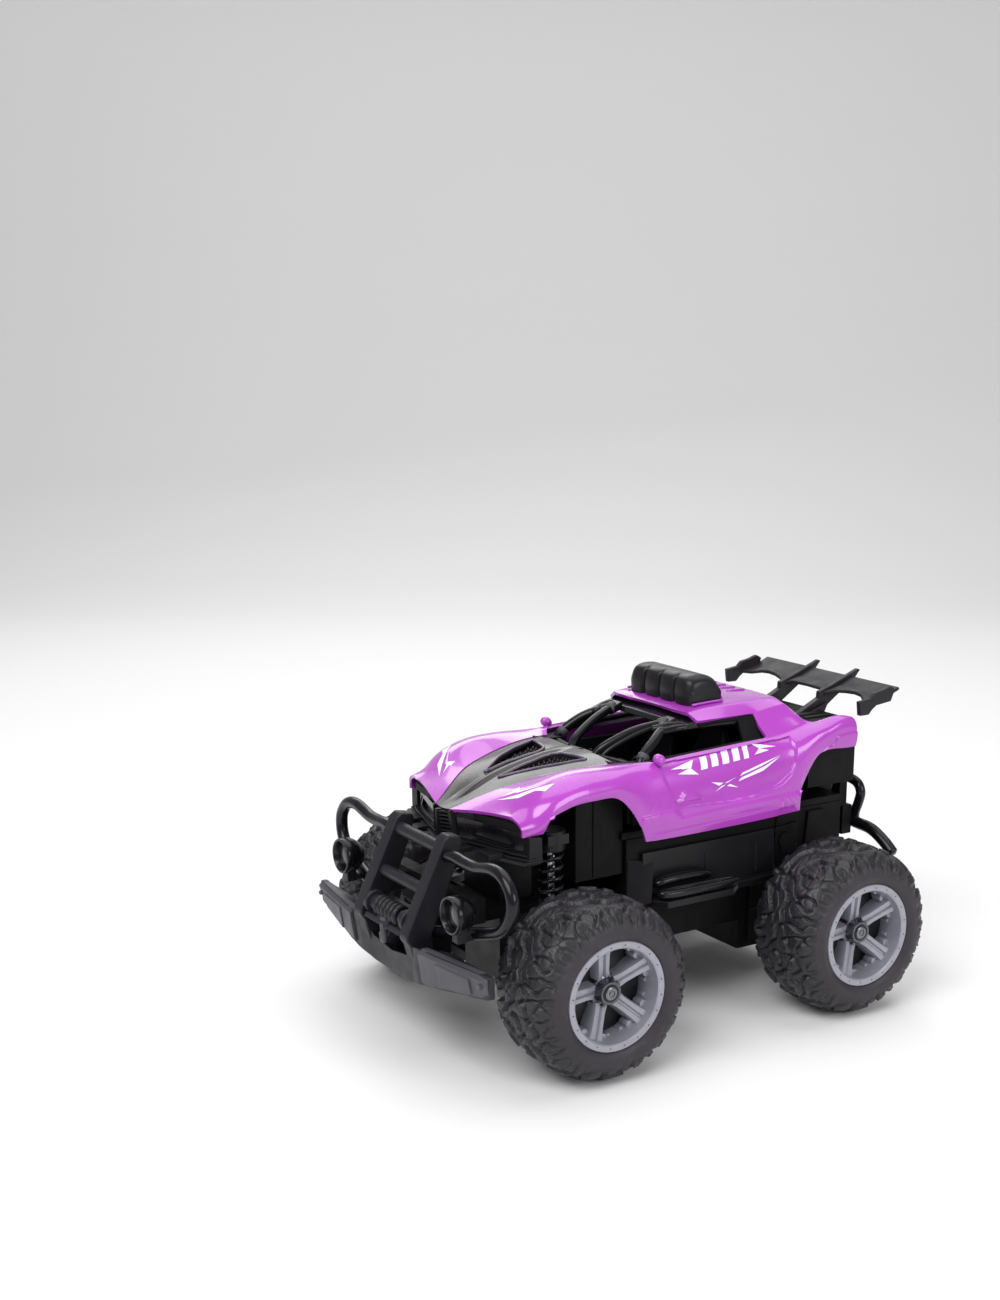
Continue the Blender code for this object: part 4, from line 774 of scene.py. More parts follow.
# ------------------------------------------------------------------ nose, cage
def build_nose():
    face = [(0, -82.5), (8, -80.4), (34.5, -72.6), (40.5, -69.5), (40.5, -66), (20, -68.5), (0, -70.5)]
    block = build("nose_panel", both(prism(face, "z", 76, 84.6)), "gloss_black")
    bezel = [(11.5, 82.4), (31.5, 83), (36, 78.2), (30.5, 77), (12.5, 77.8)]
    lens = [(14, 81.4), (30.6, 81.9), (33.6, 78.6), (30, 77.9), (14.6, 78.6)]

    def behind_face(outline, *depths):
        """Outline lofted between depths behind the raked front face."""
        return sections([[(x, -82.8 + (x - 2) * 0.295 + d, z) for x, z in outline] for d in depths])

    carve(block, both(behind_face(bezel, -6, 0.9), behind_face(lens, -6, 2.6)))
    place(ease(sharp(block), 0.25), "chassis", "satin_black", "grille")
    brow = both(prism([(14, -77.4), (34.6, -73.9), (40.2, -71.9), (40.2, -66.4), (14, -68.4)],
                      "z", 84.2, 87.4),
                prism([(24, -75.2), (34.8, -73.4), (39, -71.6), (39, -66.4), (24, -68.4)], "z", 87.2, 89))
    mould("nose_brow", brow, "matte_black", 0.4, "satin_black")
    mould("nose_lamp_lenses", both(behind_face(lens, 2.3, 3.4)), "lens", 0.3, "gloss_black")

    slats = [prism([(-7.2, -80.2), (0, -83.7 - 0.16 * k), (7.2, -80.2), (7.2, -79), (0, -82.2),
                    (-7.2, -79)], "z", 78 + k * 1.45, 78.7 + k * 1.45) for k in range(6)]
    slats.append(box((-0.7, -84.9, 77), (0.7, -82, 86.4)))
    slats += both(sections([[(6.6, -82, 76.6), (8, -81.4, 76.6), (8, -79.6, 76.6), (6.6, -80, 76.6)],
                            [(5.2, -83, 86.6), (6.4, -82.6, 86.8), (6.4, -80.6, 86.8), (5.2, -80.8, 86.6)]]))
    mould("nose_slats", slats, "satin_black", 0.15, "satin_black")

    lips = both(*[prism([(0, -85.0 + shift), (9, -83.0 + shift), (36, -75.2 + shift), (43.6, -72.0 + shift),
                         (43.6, -68.6), (20, -70.4), (0, -72.4)], "z", low, high)
                  for low, high, shift in ((74.6, 75.6, 0.0), (75.9, 76.7, 1.2))])
    lips += both(box((13, -86, 74.2), (19, -80.6, 76.2)), box((24, -82, 74.2), (33, -76, 76.4)),
                 prism([(30, -78.4), (43.8, -73.6), (43.8, -67), (34, -69)], "z", 73.4, 74.8),
                 prism([(-71.6, 83.6), (-71.6, 75.4), (-70.6, 73.6), (-66, 73.6), (-66.4, 83)], "x",
                       39, 43.4))
    mould("nose_lip", lips, "satin_black", 0.25, "satin_black")


def build_cage():
    junction = (17.8, 5.6, 111)
    bars = [tube([(28.6, -14.6, 97.6), (27.2, -11.5, 101.8), (24.2, -3.5, 107.2), junction], 2, 22, 8),
            tube([(8.2, -20.4, 99.6), (9.8, -16.5, 103.2), (13.2, -6, 108.2), junction], 1.75, 22, 8),
            tube([(10.8, -19.6, 99), (12.2, -15.4, 102.6), (15.2, -5.6, 107.4), (18.6, 4.4, 110.4)], 1.1, 16),
            tube([(19.4, -1.6, 109.4), (22.6, 4.6, 110.8), (24.6, 13.5, 110.4)], 1.6, 18, 6),
            tube([(30, -13.5, 97.6), (20, -17.5, 98.6), (8, -20.5, 99.2), (0, -21, 99.4)], 1.6, 16, 4),
            tube([(22.5, -0.5, 108.9), (25.4, 8, 110.2), (26.6, 20, 110.4), (27.2, 34, 109.6),
                  (30.4, 41, 105.6), (32.4, 44.6, 100.2)], 1.7, 16, 6)]
    mould("cage_bars", both(*bars), "gloss_black", 0, "gloss_black", "roll_cage")
    header = prism([(6.8, 109.6), (8.4, 111.6), (13.4, 112.9), (18, 112.9), (18, 110.6), (12, 109.4)], "x",
                   -27.6, 27.6)
    clamp = prism([(3.4, 108.4), (3, 111.2), (8.2, 113.2), (8.8, 110)], "x", 15, 20.6)
    mould("cage_header", [header] + both(clamp), "gloss_black", 0.5, "gloss_black")
    cuffs = both(tube([(16.9, 3.2, 110.3), (17.9, 5.8, 111.1)], 2.35, 20, 2),
                 tube([(27.4, -12.4, 100.6), (27, -11, 102.2)], 2.3, 20, 2))
    mould("cage_cuffs", cuffs, "skid_grey", 0, "dark_grey")

    edge = [(30.4, -12.4, 99.6), (33.6, -4, 101.2), (34.4, 10, 102), (34.2, 25, 102.7), (34, 39.5, 103.3),
            (33.8, 43.4, 104.6), (31.6, 41.6, 107.6), (28, 38.2, 110.9), (27.4, 24, 111.3),
            (27.2, 13.4, 111.2)]
    pillar = sections([[(31.8, 31, 104), (34.2, 31, 102.2), (34.2, 46, 103.2), (32.6, 46, 107.6)],
                       [(28.6, 31.5, 111), (29.8, 31.5, 110.2), (31.2, 45.6, 109.4), (29.4, 45.6, 111.6)]])
    foot = prism([(-24, 96.6), (-20.4, 100.2), (-12, 99.8), (-12, 96.4)], "x", 24, 33)
    mould("window_frames", both(tube(edge, 1.25, 12, 4), pillar, foot), "matte_black", 0.3, "gloss_black")
    cowl = [prism([(-27.6, 99), (-26.2, 101.4), (-21, 100.2), (-17, 97.6), (-17, 95), (-27, 96.4)], "x",
                  -27.2, 27.2)]
    cowl += [prism([(-21.6, 100.2), (-20.8, 100.6), (-16.6, 98.2), (-17, 97.4)], "x", x, x + 1.2)
             for x in range(-16, 20, 4)]
    mould("cowl", cowl, "matte_black", 0.3, "matte_black")


def build_interior():
    base = sections([[(x, y, z) for x, z in ((6, 79), (6, edge), (9, dip), (23, dip), (26, edge), (26, 79))]
                     for y, edge, dip in ((6.5, 83.4, 84.6), (14, 84.6, 83.8), (24, 85.4, 83.4))])
    back = sections([[(x, y + shift, z) for x, y in ring] for z, shift, ring in (
        (82, 0, [(6, 24), (9, 22.6), (23, 22.6), (26, 24), (26, 29), (6, 29)]),
        (92, 2.4, [(5.6, 23), (9, 23.4), (23, 23.4), (26.4, 23), (26, 29), (6, 29)]),
        (101, 4.6, [(8, 24), (10, 23.6), (22, 23.6), (24, 24), (24, 28), (8, 28)]),
        (106.6, 6, [(11, 24.4), (12, 24), (20, 24), (21, 24.4), (21, 27), (11, 27)]))])
    mould("seats", both(base, back), "matte_black", 0.9, "matte_black", "cockpit_tub", angle=25, segments=3)
    dash = prism([(-22, 78), (-22, 95.6), (-17.6, 96.6), (-12, 95.4), (-9.2, 91.6), (-10, 86), (-14, 78)],
                 "x", -32, 32)
    hood = prism([(-18, 95), (-16, 98.2), (-9.4, 97.4), (-9, 95)], "x", 9.6, 22.4)
    stack = prism([(-12, 80), (-9, 92), (-6.4, 90), (2, 82), (2, 79)], "x", -4, 4)
    floor = box((-33, -20, 77.2), (33, 52, 79))
    bulkhead = prism([(45, 78), (44, 99), (46.4, 101.6), (52, 101.6), (52, 78)], "x", -32.4, 32.4)
    ribs = [box((x, 43.4, 84), (x + 2, 45.4, 98)) for x in range(-28, 27, 9)]
    cabin = [dash, hood, stack, floor, bulkhead, *ribs] + both(box((31.4, -20, 78), (33, 52, 96)))
    mould("cabin", cabin, "matte_black", 0.5, "matte_black")
    ring = [(16 + 5 * c, -6.2 + 1.2 * s, 93.4 + 4.8 * s) for c, s in circle(1, 16)]
    wheel = [tube(ring, 0.75, 12, 3, True), rod("y", (16, 0, 93.4), 1.3, -12, -6),
             tube([(11.4, -6.2, 93.4), (16, -7, 93), (20.6, -6.2, 93.4)], 0.7, 10, 4)]
    wheel += [rod("y", (x, 0, 95.2), 1.7, -9.4, -8.6) for x in (-12, -8)]
    mould("steering_wheel", wheel, "gloss_black", 0, "gloss_black")


def build_pod():
    """Four lamps in one moulding: a loft along X, pulled in at the seams and round at its ends."""
    rows, half, steps, lamp = [], 20.2, 120, 9.7
    for i in range(steps + 1):
        x = half * (2 * i / steps - 1)
        seam = min(abs(x - s) for s in (-lamp, 0.0, lamp))
        cut = 1.7 * math.exp(-(seam / 0.7) ** 2) + 0.5 * (1 - min(1, seam / 4.85)) ** 2
        drop = 1 - math.sqrt(max(0.0, 1 - max(0.0, (abs(x) - 15.2) / 5) ** 2))
        top, front, back = 127.7 - 3.6 * drop, 14.6 + 2.8 * drop, 31.4 - 1.6 * drop
        route = [(x, front + cut, 116.7), (x, front - 0.3 + cut, 120.6), (x, front + 0.2 + cut, top - 3.6),
                 (x, front + 1.3 + 0.6 * cut, top - 1.4),
                 (x, front + 3.6 + 0.2 * cut, top - 0.2 - 0.08 * cut),
                 (x, front + 7.2, top + 0.1), (x, 25.4, top - 0.5), (x, back - 2.8, top - 2),
                 (x, back - 0.8, top - 4.4), (x, back, 120.8), (x, back + 0.1, 117)]
        rows.append([tuple(p) for p in smooth_path(route, 4)])
    pod = build("roof_pod", [sections(rows)], "pod_black")
    place(sharp(pod, 50), "chassis", "satin_black", "roof_lamp_pod")


def build_wing():
    half = [(0, 91), (9, 90.6), (12.3, 88.4), (14, 88.8), (17, 91), (22, 92.6), (27, 93.2), (31, 92.6),
            (35, 90.2), (41, 89)]
    blade = []
    for x, front in [(-x, front) for x, front in reversed(half[1:])] + half:
        low = 111.3 + (front - 86) * 0.325
        blade.append([(x, front, low), (x, (front + 97) / 2, low + 0.7), (x, 98, 114.4), (x, 104.6, 117),
                      (x, 104, 118.2), (x, 97, 115.4), (x, (front + 96) / 2, low + 1.9),
                      (x, front + 0.4, low + 1.3)])
    mould("wing_blade", [sections(blade)], "wing_black", 0.35, "matte_black", "rear_wing", angle=40)
    plate = prism([(82.3, 109), (86.7, 109), (88.6, 110.9), (90.7, 112.3), (98.4, 113.2), (100.4, 117.9),
                   (98, 119.3), (93.6, 118), (89.8, 117.4), (87.6, 115.4), (81.6, 114.7)], "x", 40.6, 42.8)
    fin = prism([(86.4, 110.6), (96, 112.8), (105, 116.2), (108.6, 120.4), (107.4, 120.8), (101, 118.4),
                 (93, 115.4), (86.6, 113.4)], "x", 11.2, 13.4)
    strut = prism([(74, 104.9), (86.6, 104.9), (89, 106.4), (101, 114.4), (90.4, 112.6)], "x", 10.8, 13.8)
    gusset = prism([(78, 105), (88, 105), (90, 109)], "x", 14.2, 15.4)
    mould("wing_fins", both(plate, fin, strut, gusset), "wing_black", 0.35, "matte_black")
    deck = [prism([(-28.2, 68.4), (28.2, 68.4), (29.4, 76), (28.2, 87.4), (-28.2, 87.4), (-29.4, 76)], "z",
                  104, 105.7)]
    deck += [box((x, 71, 105.5), (x + 3.4, 84, 106.3)) for x in (-24, -18.6, 15.2, 20.6)]
    mould("wing_deck", deck, "matte_black", 0.35, "matte_black")


# ---------------------------------------------------------------- front bumper
def build_bumper():
    rake = prism([(-85.4, 79.6), (-86.6, 81.4), (-91, 82.2), (-93.2, 80.6), (-96.6, 73.2), (-108.8, 48),
                  (-109, 45.8), (-107.4, 43.4), (-104.2, 31.4), (-100.8, 30.6), (-98, 37.6),
                  (-98.6, 46.6), (-93.6, 58), (-88.2, 71)], "x", 15, 21)
    mould("bumper_plates", both(rake), "bumper_black", 0.7, "satin_black", "front_bumper", angle=30,
          segments=3)
    bars = [rod("x", (0, -91.4, 76.4), 2.5, -17, 17), rod("x", (0, -98.4, 61.6), 2.3, -17, 17)]
    bars += both(prism([(-97, 52.4), (-97, 58.4), (-84, 57), (-82, 52.4)], "x", 15.6, 20.4),
                 prism([(-88, 56), (-84, 60), (-82, 60), (-82, 50), (-88, 50)], "x", 4, 12))
    mould("bumper_bars", bars, "bumper_black", 0.4, "satin_black")
    hoop = tube([(18, -92.2, 74.4), (25.4, -91.8, 75.6), (33, -91.5, 75.2), (40.8, -91.4, 75.4),
                 (51.4, -91.3, 77.4), (59, -91.4, 76.2), (63.8, -91.6, 71.6), (64.6, -91.8, 66.2),
                 (62, -92.2, 60.8), (57, -92.6, 56.8), (45, -93.2, 53), (30, -94.4, 49.4),
                 (18, -96, 46.6)], 2.35, 24)
    mould("bumper_hoops", both(hoop), "gloss_black", 0, "satin_black")

    cup = [(-95, 0), (-95, 3.6), (-96.4, 5.2), (-98.6, 6.5), (-101.6, 6.9), (-103, 6.9), (-103.6, 6.6),
           (-103.7, 6), (-103.2, 5.6), (-101.4, 5.3), (-100.4, 4.9), (-100.1, 0)]
    lens = [(-100.2, 0), (-100.2, 5.2), (-100.9, 4.9), (-101.7, 3.4), (-102, 1.5), (-102.1, 0)]
    for suffix, side in SIDES:
        x, name = side * LAMP_X, f"bumper_lamp_{suffix}"
        centre = (x, 0, LAMP_Z)
        place(sharp(build(name + "_cup", [turned(cup, "y", centre)], "gloss_black"), 40), "chassis",
              "gloss_black", name)
        stem = [prism([(x - 2, 50.4), (x + 2, 50.4), (x + 1.5, 55.2), (x - 1.5, 55.2)], "y", -101.6, -97.6),
                rod("y", (x, 0, 51.6), 1.5, -98.4, -92)]
        mould(name + "_lens", [turned(lens, "y", centre)], "lens", 0, "gloss_black")
        mould(name + "_stem", stem, "bumper_black", 0.3, "satin_black")


def build_skid():
    half = [[(x, *point) for point in ring] for x, *ring in (
        (0, (-104.4, 36), (-103.8, 27.2), (-84, 22.4), (-84, 27.4)),
        (13.6, (-104.8, 38), (-104.2, 27.6), (-84, 22.4), (-84, 27.4)),
        (20.4, (-106.8, 43.6), (-105, 29.2), (-92, 27.4), (-94, 39.4)),
        (23, (-107.4, 44.4), (-105.2, 29.8), (-95, 28.4), (-97, 41)),
        (34, (-106.4, 44.8), (-104.4, 31.4), (-99.7, 32.2), (-99.7, 44.4)),
        (64, (-102, 45), (-101.4, 36.2), (-99.5, 36.4), (-99.5, 45)),
        (65.6, (-101.2, 44.4), (-100.9, 36.8), (-99.4, 37), (-99.4, 44.4)))]
    other = [[(-x, y, z) for x, y, z in ring] for ring in reversed(half[1:])]
    mould("skid_guard", [sections(other + half)], "bumper_black", 0.45, "dark_grey", "skid_plate", angle=22,
          segments=3)
    pads = both(
        sections([[(x, y + 0.6, top), (x, y - 0.9, top - 1.6), (x, y + 0.7, low + 0.8), (x, y + 1.8, low),
                   (x, y + 3, low), (x, y + 3, top)]
                  for x, y, top, low in ((26.6, -107, 44.6, 31.2), (28.4, -107, 44.9, 31.2),
                                         (60, -102.8, 45, 35.6), (64.6, -101.8, 44.6, 36.4))]),
        sections([[(x, y + 0.5, top), (x, y - 0.6, top - 1.2), (x, y + 0.6, low), (x, y + 2.4, low),
                   (x, y + 2.4, top)]
                  for x, y, top, low in ((37.5, -106.4, 43.2, 33.6), (56, -104, 43, 36.4))]),
        prism([(-104.4, 34), (-100, 30.4), (-88, 25.6), (-88, 28.4), (-100, 40)], "x", 8.2, 10.8),
        rod("y", (61.6, 0, 40.8), 0.9, -103.9, -99.6, 20, 0.2))
    mould("skid_pads", pads, "skid_grey", 0.3, "dark_grey")
    stay = [box((-9, -92, 24), (9, -84.4, 47.6)), box((-6, -99, 33), (6, -90, 38))]
    mould("skid_stay", stay, "matte_black", 0.4, "dark_grey")


def build_winch():
    y, z = -103.6, 50.6
    body = [rod("x", (0, y, z), radius, side * outer, side * inner)
            for radius, outer, inner in ((4.4, 15, 12.6), (3, 12.8, 9)) for side in (1, -1)]
    body.append(rod("x", (0, y, z), 1.9, -9.4, 9.4))
    rope = [(x, y + b, z + c) for x, b, c in helix(3, -8.6, 8.6, 6, 16)]
    mould("winch_coil", [tube(rope, 1.15, 10, 1)], "bumper_black", 0, "dark_grey", "winch")
    body += [prism([(-108.4, 46), (-107.6, 47.6), (-97.4, 47.6), (-97.4, 45.2), (-106.6, 44.8)], "x",
                   -13.6, 13.6),
             box((-12, -101, 46.8), (12, -97.4, 52.6)),
             prism([(-108.6, 47), (-106.4, 49.8), (-101, 49.8), (-101, 46)], "x", -4.6, 4.6)]
    mould("winch_body", body, "bumper_black", 0.35, "dark_grey")
    hook = tube([(0.0, -107, 47.4), (0.8, -107.9, 45.2), (1.6, -107.9, 42.4), (0.4, -107.4, 40.2),
                 (-1.6, -107, 40.6), (-2.2, -106.9, 42.6)], 1.15, 16, 6)
    eye = tube([(2.2 * c, -107.2, 46.4 + 1.9 * s) for c, s in circle(1, 10)], 0.8, 12, 3, True)
    mould("winch_hook", [hook, eye], "skid_grey", 0, "dark_grey")


# ---------------------------------------------------------------------- wheels
def tyre_outline():
    """Tyre section from one bead over the tread to the other: (along, radius, lug height)."""
    half = [(0.0, 30.9, 2.1), (4, 30.9, 2.1), (8.4, 30.7, 2.1), (11.6, 30, 2), (14.2, 28.8, 1.8),
            (16, 27.1, 1.3), (17, 25.6, 0.5), (17.5, 24, 0.0), (17.5, 22.6, 0.0), (16.9, 21.2, 0.0),
            (16.2, 20.3, 0.0), (15.4, 20.1, 0.0)]
    return [(-a, r, h) for a, r, h in reversed(half[1:])] + half


def build_tyre(name):
    route = smooth_path(tyre_outline(), 5)
    dense = [route[0]]
    for p in route[1:]:
        gap = (p - dense[-1]).xy.length
        parts = max(1, round(gap / 0.45)) if max(p.z, dense[-1].z) > 0.05 else 1
        start = dense[-1]
        dense += [start + (p - start) * (k + 1) / parts for k in range(parts)]
    around = 440
    along = np.array([p.x for p in dense])
    radius = np.array([p.y for p in dense])
    lug = np.array([max(0.0, p.z) for p in dense])
    travel = np.concatenate([[0], np.cumsum(np.hypot(np.diff(along), np.diff(radius)))])
    travel -= travel[-1] / 2
    theta = np.arange(around) * 2 * math.pi / around
    across_x, across_y = np.cos(theta), np.sin(theta)
    draw = random.Random(7)

    def maze(wavelength, waves):
        """Labyrinth of bands of one width, seamless round the wheel."""
        total = np.zeros((len(dense), around))
        for k in range(waves):
            lean = math.pi * (k + draw.random() * 0.8) / waves
            turns = round(math.cos(lean) * 2 * math.pi * TYRE_R / wavelength)
            across = math.sin(lean) * 2 * math.pi / wavelength
            phase = draw.random() * 2 * math.pi
            total += np.cos(turns * theta[None, :] + across * travel[:, None] + phase)
        return total / math.sqrt(waves / 2)

    field = maze(7.6, 10)
    grooves = np.clip((np.abs(field) - 0.20) / 0.28, 0, 1)
    grooves = grooves * grooves * (3 - 2 * grooves)
    tiers = np.clip((field + 0.1) / 0.4, 0, 1)
    detail = np.clip((np.abs(maze(4.6, 7)) - 0.05) / 0.3, 0, 1)
    height = grooves * (0.58 + 0.42 * tiers) * (0.80 + 0.20 * detail)
    scoops = np.clip((np.cos(30 * theta[None, :] + 1.2 * np.sin(5 * theta[None, :])) + 0.45) / 0.4, 0, 1)
    edge = np.clip((np.abs(along)[:, None] - 13.4) / 2, 0, 1)
    crown = height * (1 - 0.45 * edge) + 0.45 * edge * scoops
    dr, da = np.gradient(radius), np.gradient(along)
    length = np.hypot(dr, da)
    rise = lug[:, None] * crown
    grown_r = np.minimum(radius[:, None] + (da / length)[:, None] * rise, TYRE_R - 0.02)
    grown_a = along[:, None] - (dr / length)[:, None] * rise * 0.7
    ring = np.stack([grown_a, grown_r * across_x, grown_r * across_y], -1)
    inner = [np.stack([np.full(around, a), r * across_x, r * across_y], -1)
             for a, r in ((13.8, 19.4), (13.6, 25), (9.5, 28.6), (-9.5, 28.6), (-13.6, 25), (-13.8, 19.4))]
    points = np.concatenate([ring.reshape(-1, 3), *inner]) * MM
    rows = [range(i * around, (i + 1) * around) for i in range(len(dense) + len(inner))]
    faces = [face for lower, upper in zip(rows, rows[1:] + rows[:1]) for face in band(lower, upper)]
    data = bpy.data.meshes.new(name)
    data.from_pydata(points.tolist(), [], faces)
    work = outward_bmesh(data)
    work.to_mesh(data)
    work.free()
    data.materials.append(LOOK["rubber"])
    data.materials.append(LOOK["tread"])
    # The lugged tread faces take the darker tread material.
    tread_faces = np.repeat(np.concatenate([lug > 0.9, np.zeros(len(inner), bool)]), around)
    data.polygons.foreach_set("material_index", tread_faces.astype(np.int32))
    data.shade_smooth()
    return data


def spoke(angle):
    """One double-ridged spoke, standing along +y before it is turned to its angle."""
    rows = []
    for r, half, top, low in ((4.8, 2.9, 9.4, 5), (8, 2.5, 10.4, 5), (14.2, 2.7, 12.4, 6),
                              (17.6, 3.2, 13.6, 8)):
        rows.append([(low, r, -half - 0.5), (top - 0.9, r, -half - 0.1), (top, r, -half + 0.35),
                     (top, r, -0.75), (top - 0.9, r, -0.3), (top - 0.9, r, 0.3), (top, r, 0.75),
                     (top, r, half - 0.35), (top - 0.9, r, half + 0.1), (low, r, half + 0.5)])
    points, faces = sections(rows)
    c, s = math.cos(angle), math.sin(angle)
    return [(x, y * c - z * s, y * s + z * c) for x, y, z in points], faces


def studs(radius, count, first, size, low, high, segments, round_off=0.3):
    """A ring of small round bosses on a wheel's face."""
    return [rod("x", (0, y, z), size, low, high, segments, round_off)
            for y, z in circle(radius, count, first)]


def build_rim(name):
    hub_line = (0, 0, 0)
    barrel = [(-15, 18.8), (13.2, 18.9), (13.6, 19.8), (14, 20.2), (16, 20.2), (16.5, 19.9), (16.6, 19.2),
              (16.6, 17.9), (16.2, 17.4), (12.2, 16.7), (9, 16.5), (3, 16.4), (-15, 16.6)]
    solids = [turned(barrel, "x", hub_line, 96, True)]
    first, gap = math.radians(30), math.radians(66)
    solids += [spoke(first + 2 * math.pi * k / 5) for k in range(5)]
    for turn in (-1, 1):
        solids += studs(16.4, 5, gap + turn * 0.36, 1.5, 6.4, 11.4, 16)
        solids += studs(16.7, 5, gap + turn * 0.17, 0.9, 6.4, 10, 14)
    hub = [turned([(4, 0), (4, 6.3), (7.6, 6.3), (8.6, 6), (9.2, 4.9), (12, 4.4), (12.5, 4.1),
                   (12.6, 3.6), (12.4, 3.2), (12.4, 0)], "x", hub_line, 64)]
    hub += studs(5.5, 6, 0.3, 0.7, 7.6, 9.7, 12)
    dark = [turned([(4.2, 0), (4.2, 16.7), (5.6, 16.7), (5.8, 16), (5.6, 0)], "x", hub_line, 64),
            turned([(12.35, 2.5), (12.7, 2.6), (12.7, 3.1), (12.35, 3.2)], "x", hub_line, 48, True)]
    dark += studs(18.7, 20, math.pi / 20, 0.26, 16.3, 16.72, 10, 0.1)
    cap = [turned([(12.3, 0), (12.3, 2.4), (12.8, 2.4), (13, 2.1), (13, 1.3), (12.7, 1.2), (12.7, 0.9),
                   (13, 0.8), (13.05, 0)], "x", hub_line, 40)]
    return [sharp(build(name + tail, part, look), 38) for tail, part, look in (
        ("", solids, "rim"), ("_recess", dark, "rim_dark"), ("_cap", cap, "bolt"), ("_hub", hub, "hub"))]


def build_wheels():
    rubber = build_tyre("tyre_mesh")
    first = build_rim("wheel_fl")
    for suffix, side, y, body in (("fl", 1, -AXLE_Y, "wheel_fl"), ("fr", -1, -AXLE_Y, "wheel_fr"),
                                  ("rl", 1, AXLE_Y, "rear_wheels"), ("rr", -1, AXLE_Y, "rear_wheels")):
        pieces = first if suffix == "fl" else [
            link_object(piece.name.replace("wheel_fl", "wheel_" + suffix), piece.data) for piece in first]
        rim, recess, button, nave = pieces
        tyre = link_object("tyre_rubber_" + suffix, rubber)
        for piece in (tyre, *pieces):
            piece.matrix_world = Matrix.Translation(Vector((side * HUB_X, y, TYRE_R)) * MM) \
                @ Matrix.Rotation(0.0 if side > 0 else math.pi, 4, "Z")
        place(tyre, body, "rubber", "tyre_" + suffix)
        place(rim, body, "rim_grey", "rim_" + suffix)
        place(recess, body, "rim_grey")
        place(nave, body, "rim_grey")
        screw_body = {"wheel_fl": "steer_l", "wheel_fr": "steer_r"}.get(body, body)
        place(button, screw_body, "steel", "hub_screw_" + suffix)


def build_springs():
    low, high = 49.6, 77.1
    for suffix, side in SIDES:
        x, y = side * KINGPIN_X, -AXLE_Y
        route = [(x + b, y + c, z) for z, b, c in helix(3.9, low, high, 7, 20)]
        coil = build("coil_" + suffix, [tube(route, 0.85, 12, 1)], "gloss_black")
        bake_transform(coil)
        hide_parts("spring_" + suffix)


# --------------------------------------------------------------- sides and tail
def build_steps():
    shelf = prism([(36.3, -20), (43, -19), (48.4, -14.6), (48.6, 16), (43.4, 22.4), (42.4, 44), (36.3, 44)],
                  "z", 48.6, 51.2)
    skirt = prism([(36.3, 50), (38.6, 50), (38, 68), (36.3, 68)], "y", -19, 44)
    front = sections([[(36.3, -24.6, 66), (36.3, -25, 46), (34, -25, 46), (34, -24.6, 66)],
                      [(38.4, -14, 64), (44.6, -19.4, 50.6), (36, -19.4, 50), (34, -14, 64)]])
    treads = [prism([(41.6, y), (47, y + 0.9), (47, y + 1.8), (41.6, y + 0.9)], "z", 51, 52.4)
              for y in (-6 + 2.3 * k for k in range(9))]
    ribs = [prism([(38, 52), (39.2, 52), (38.5, 64), (38, 64)], "y", y, y + 1.2) for y in (10, 34)]
    outer = tube([(x, y, 53.9) for x, y in ((46.4, -16.2), (48.2, -11), (48.4, 0), (48.4, 12), (46.8, 18.4),
                                            (44.8, 12), (44.6, 0), (44.2, -11.6))], 1.5, 18, 6, True)
    upper = tube([(41.2, -14.6, 56.2), (42.6, -11, 57.4), (42.8, -2, 57.8), (42.6, 6, 57.4),
                  (40.6, 9.4, 56.2), (39.4, 4, 57.4), (39.4, -8, 57.6)], 1.6, 18, 6, True)
    for suffix, side in SIDES:
        mould("step_" + suffix, handed([shelf, skirt, front, *treads, *ribs], side), "satin_black", 0.35,
              "satin_black", "side_step_" + suffix)
        mould("step_rails_" + suffix, handed([outer, upper], side), "gloss_black", 0, "satin_black")


def build_tail():
    bar = tube([(0, 91, 63.8), (14, 91, 64.2), (33, 91, 62.4), (42.6, 91, 61.6), (50, 91.2, 58.2),
                (55, 91.4, 54.6)], 2.4, 24)
    hoop = tube([(10, 91.2, 76), (20, 91, 79.2), (27.4, 91, 80), (33.4, 91, 78.8), (35.6, 91, 75.4),
                 (34.6, 91, 71), (32.8, 91, 66.4), (32.4, 91, 61.4)], 2, 22)
    mould("tail_tubes", both(bar, hoop), "gloss_black", 0, "satin_black", "rear_bumper")
    plate = build("tail_plate", [prism([(-22, 56), (-20, 78), (20, 78), (22, 56), (19, 53), (-19, 53)], "y",
                                       88.3, 91.8)], "bumper_black")
    carve(plate, [box((-13, 80, 66.4), (13, 100, 73.4))])
    place(ease(sharp(plate), 0.5), "chassis", "satin_black")
    trims = [rod("y", (x, 0, z), 1.5, 91.4, 92.6) for x in (-17, 17) for z in (60, 75)]
    trims += both(box((24, 84, 58), (33, 89, 70)),
                  prism([(26, 70), (33, 70), (33, 80), (29, 80)], "y", 82, 86))
    trims.append(prism([(80.4, 90), (88.6, 92), (88.6, 101), (80.4, 102.6)], "x", -12, 12))
    mould("tail_trims", trims, "matte_black", 0.35, "matte_black")


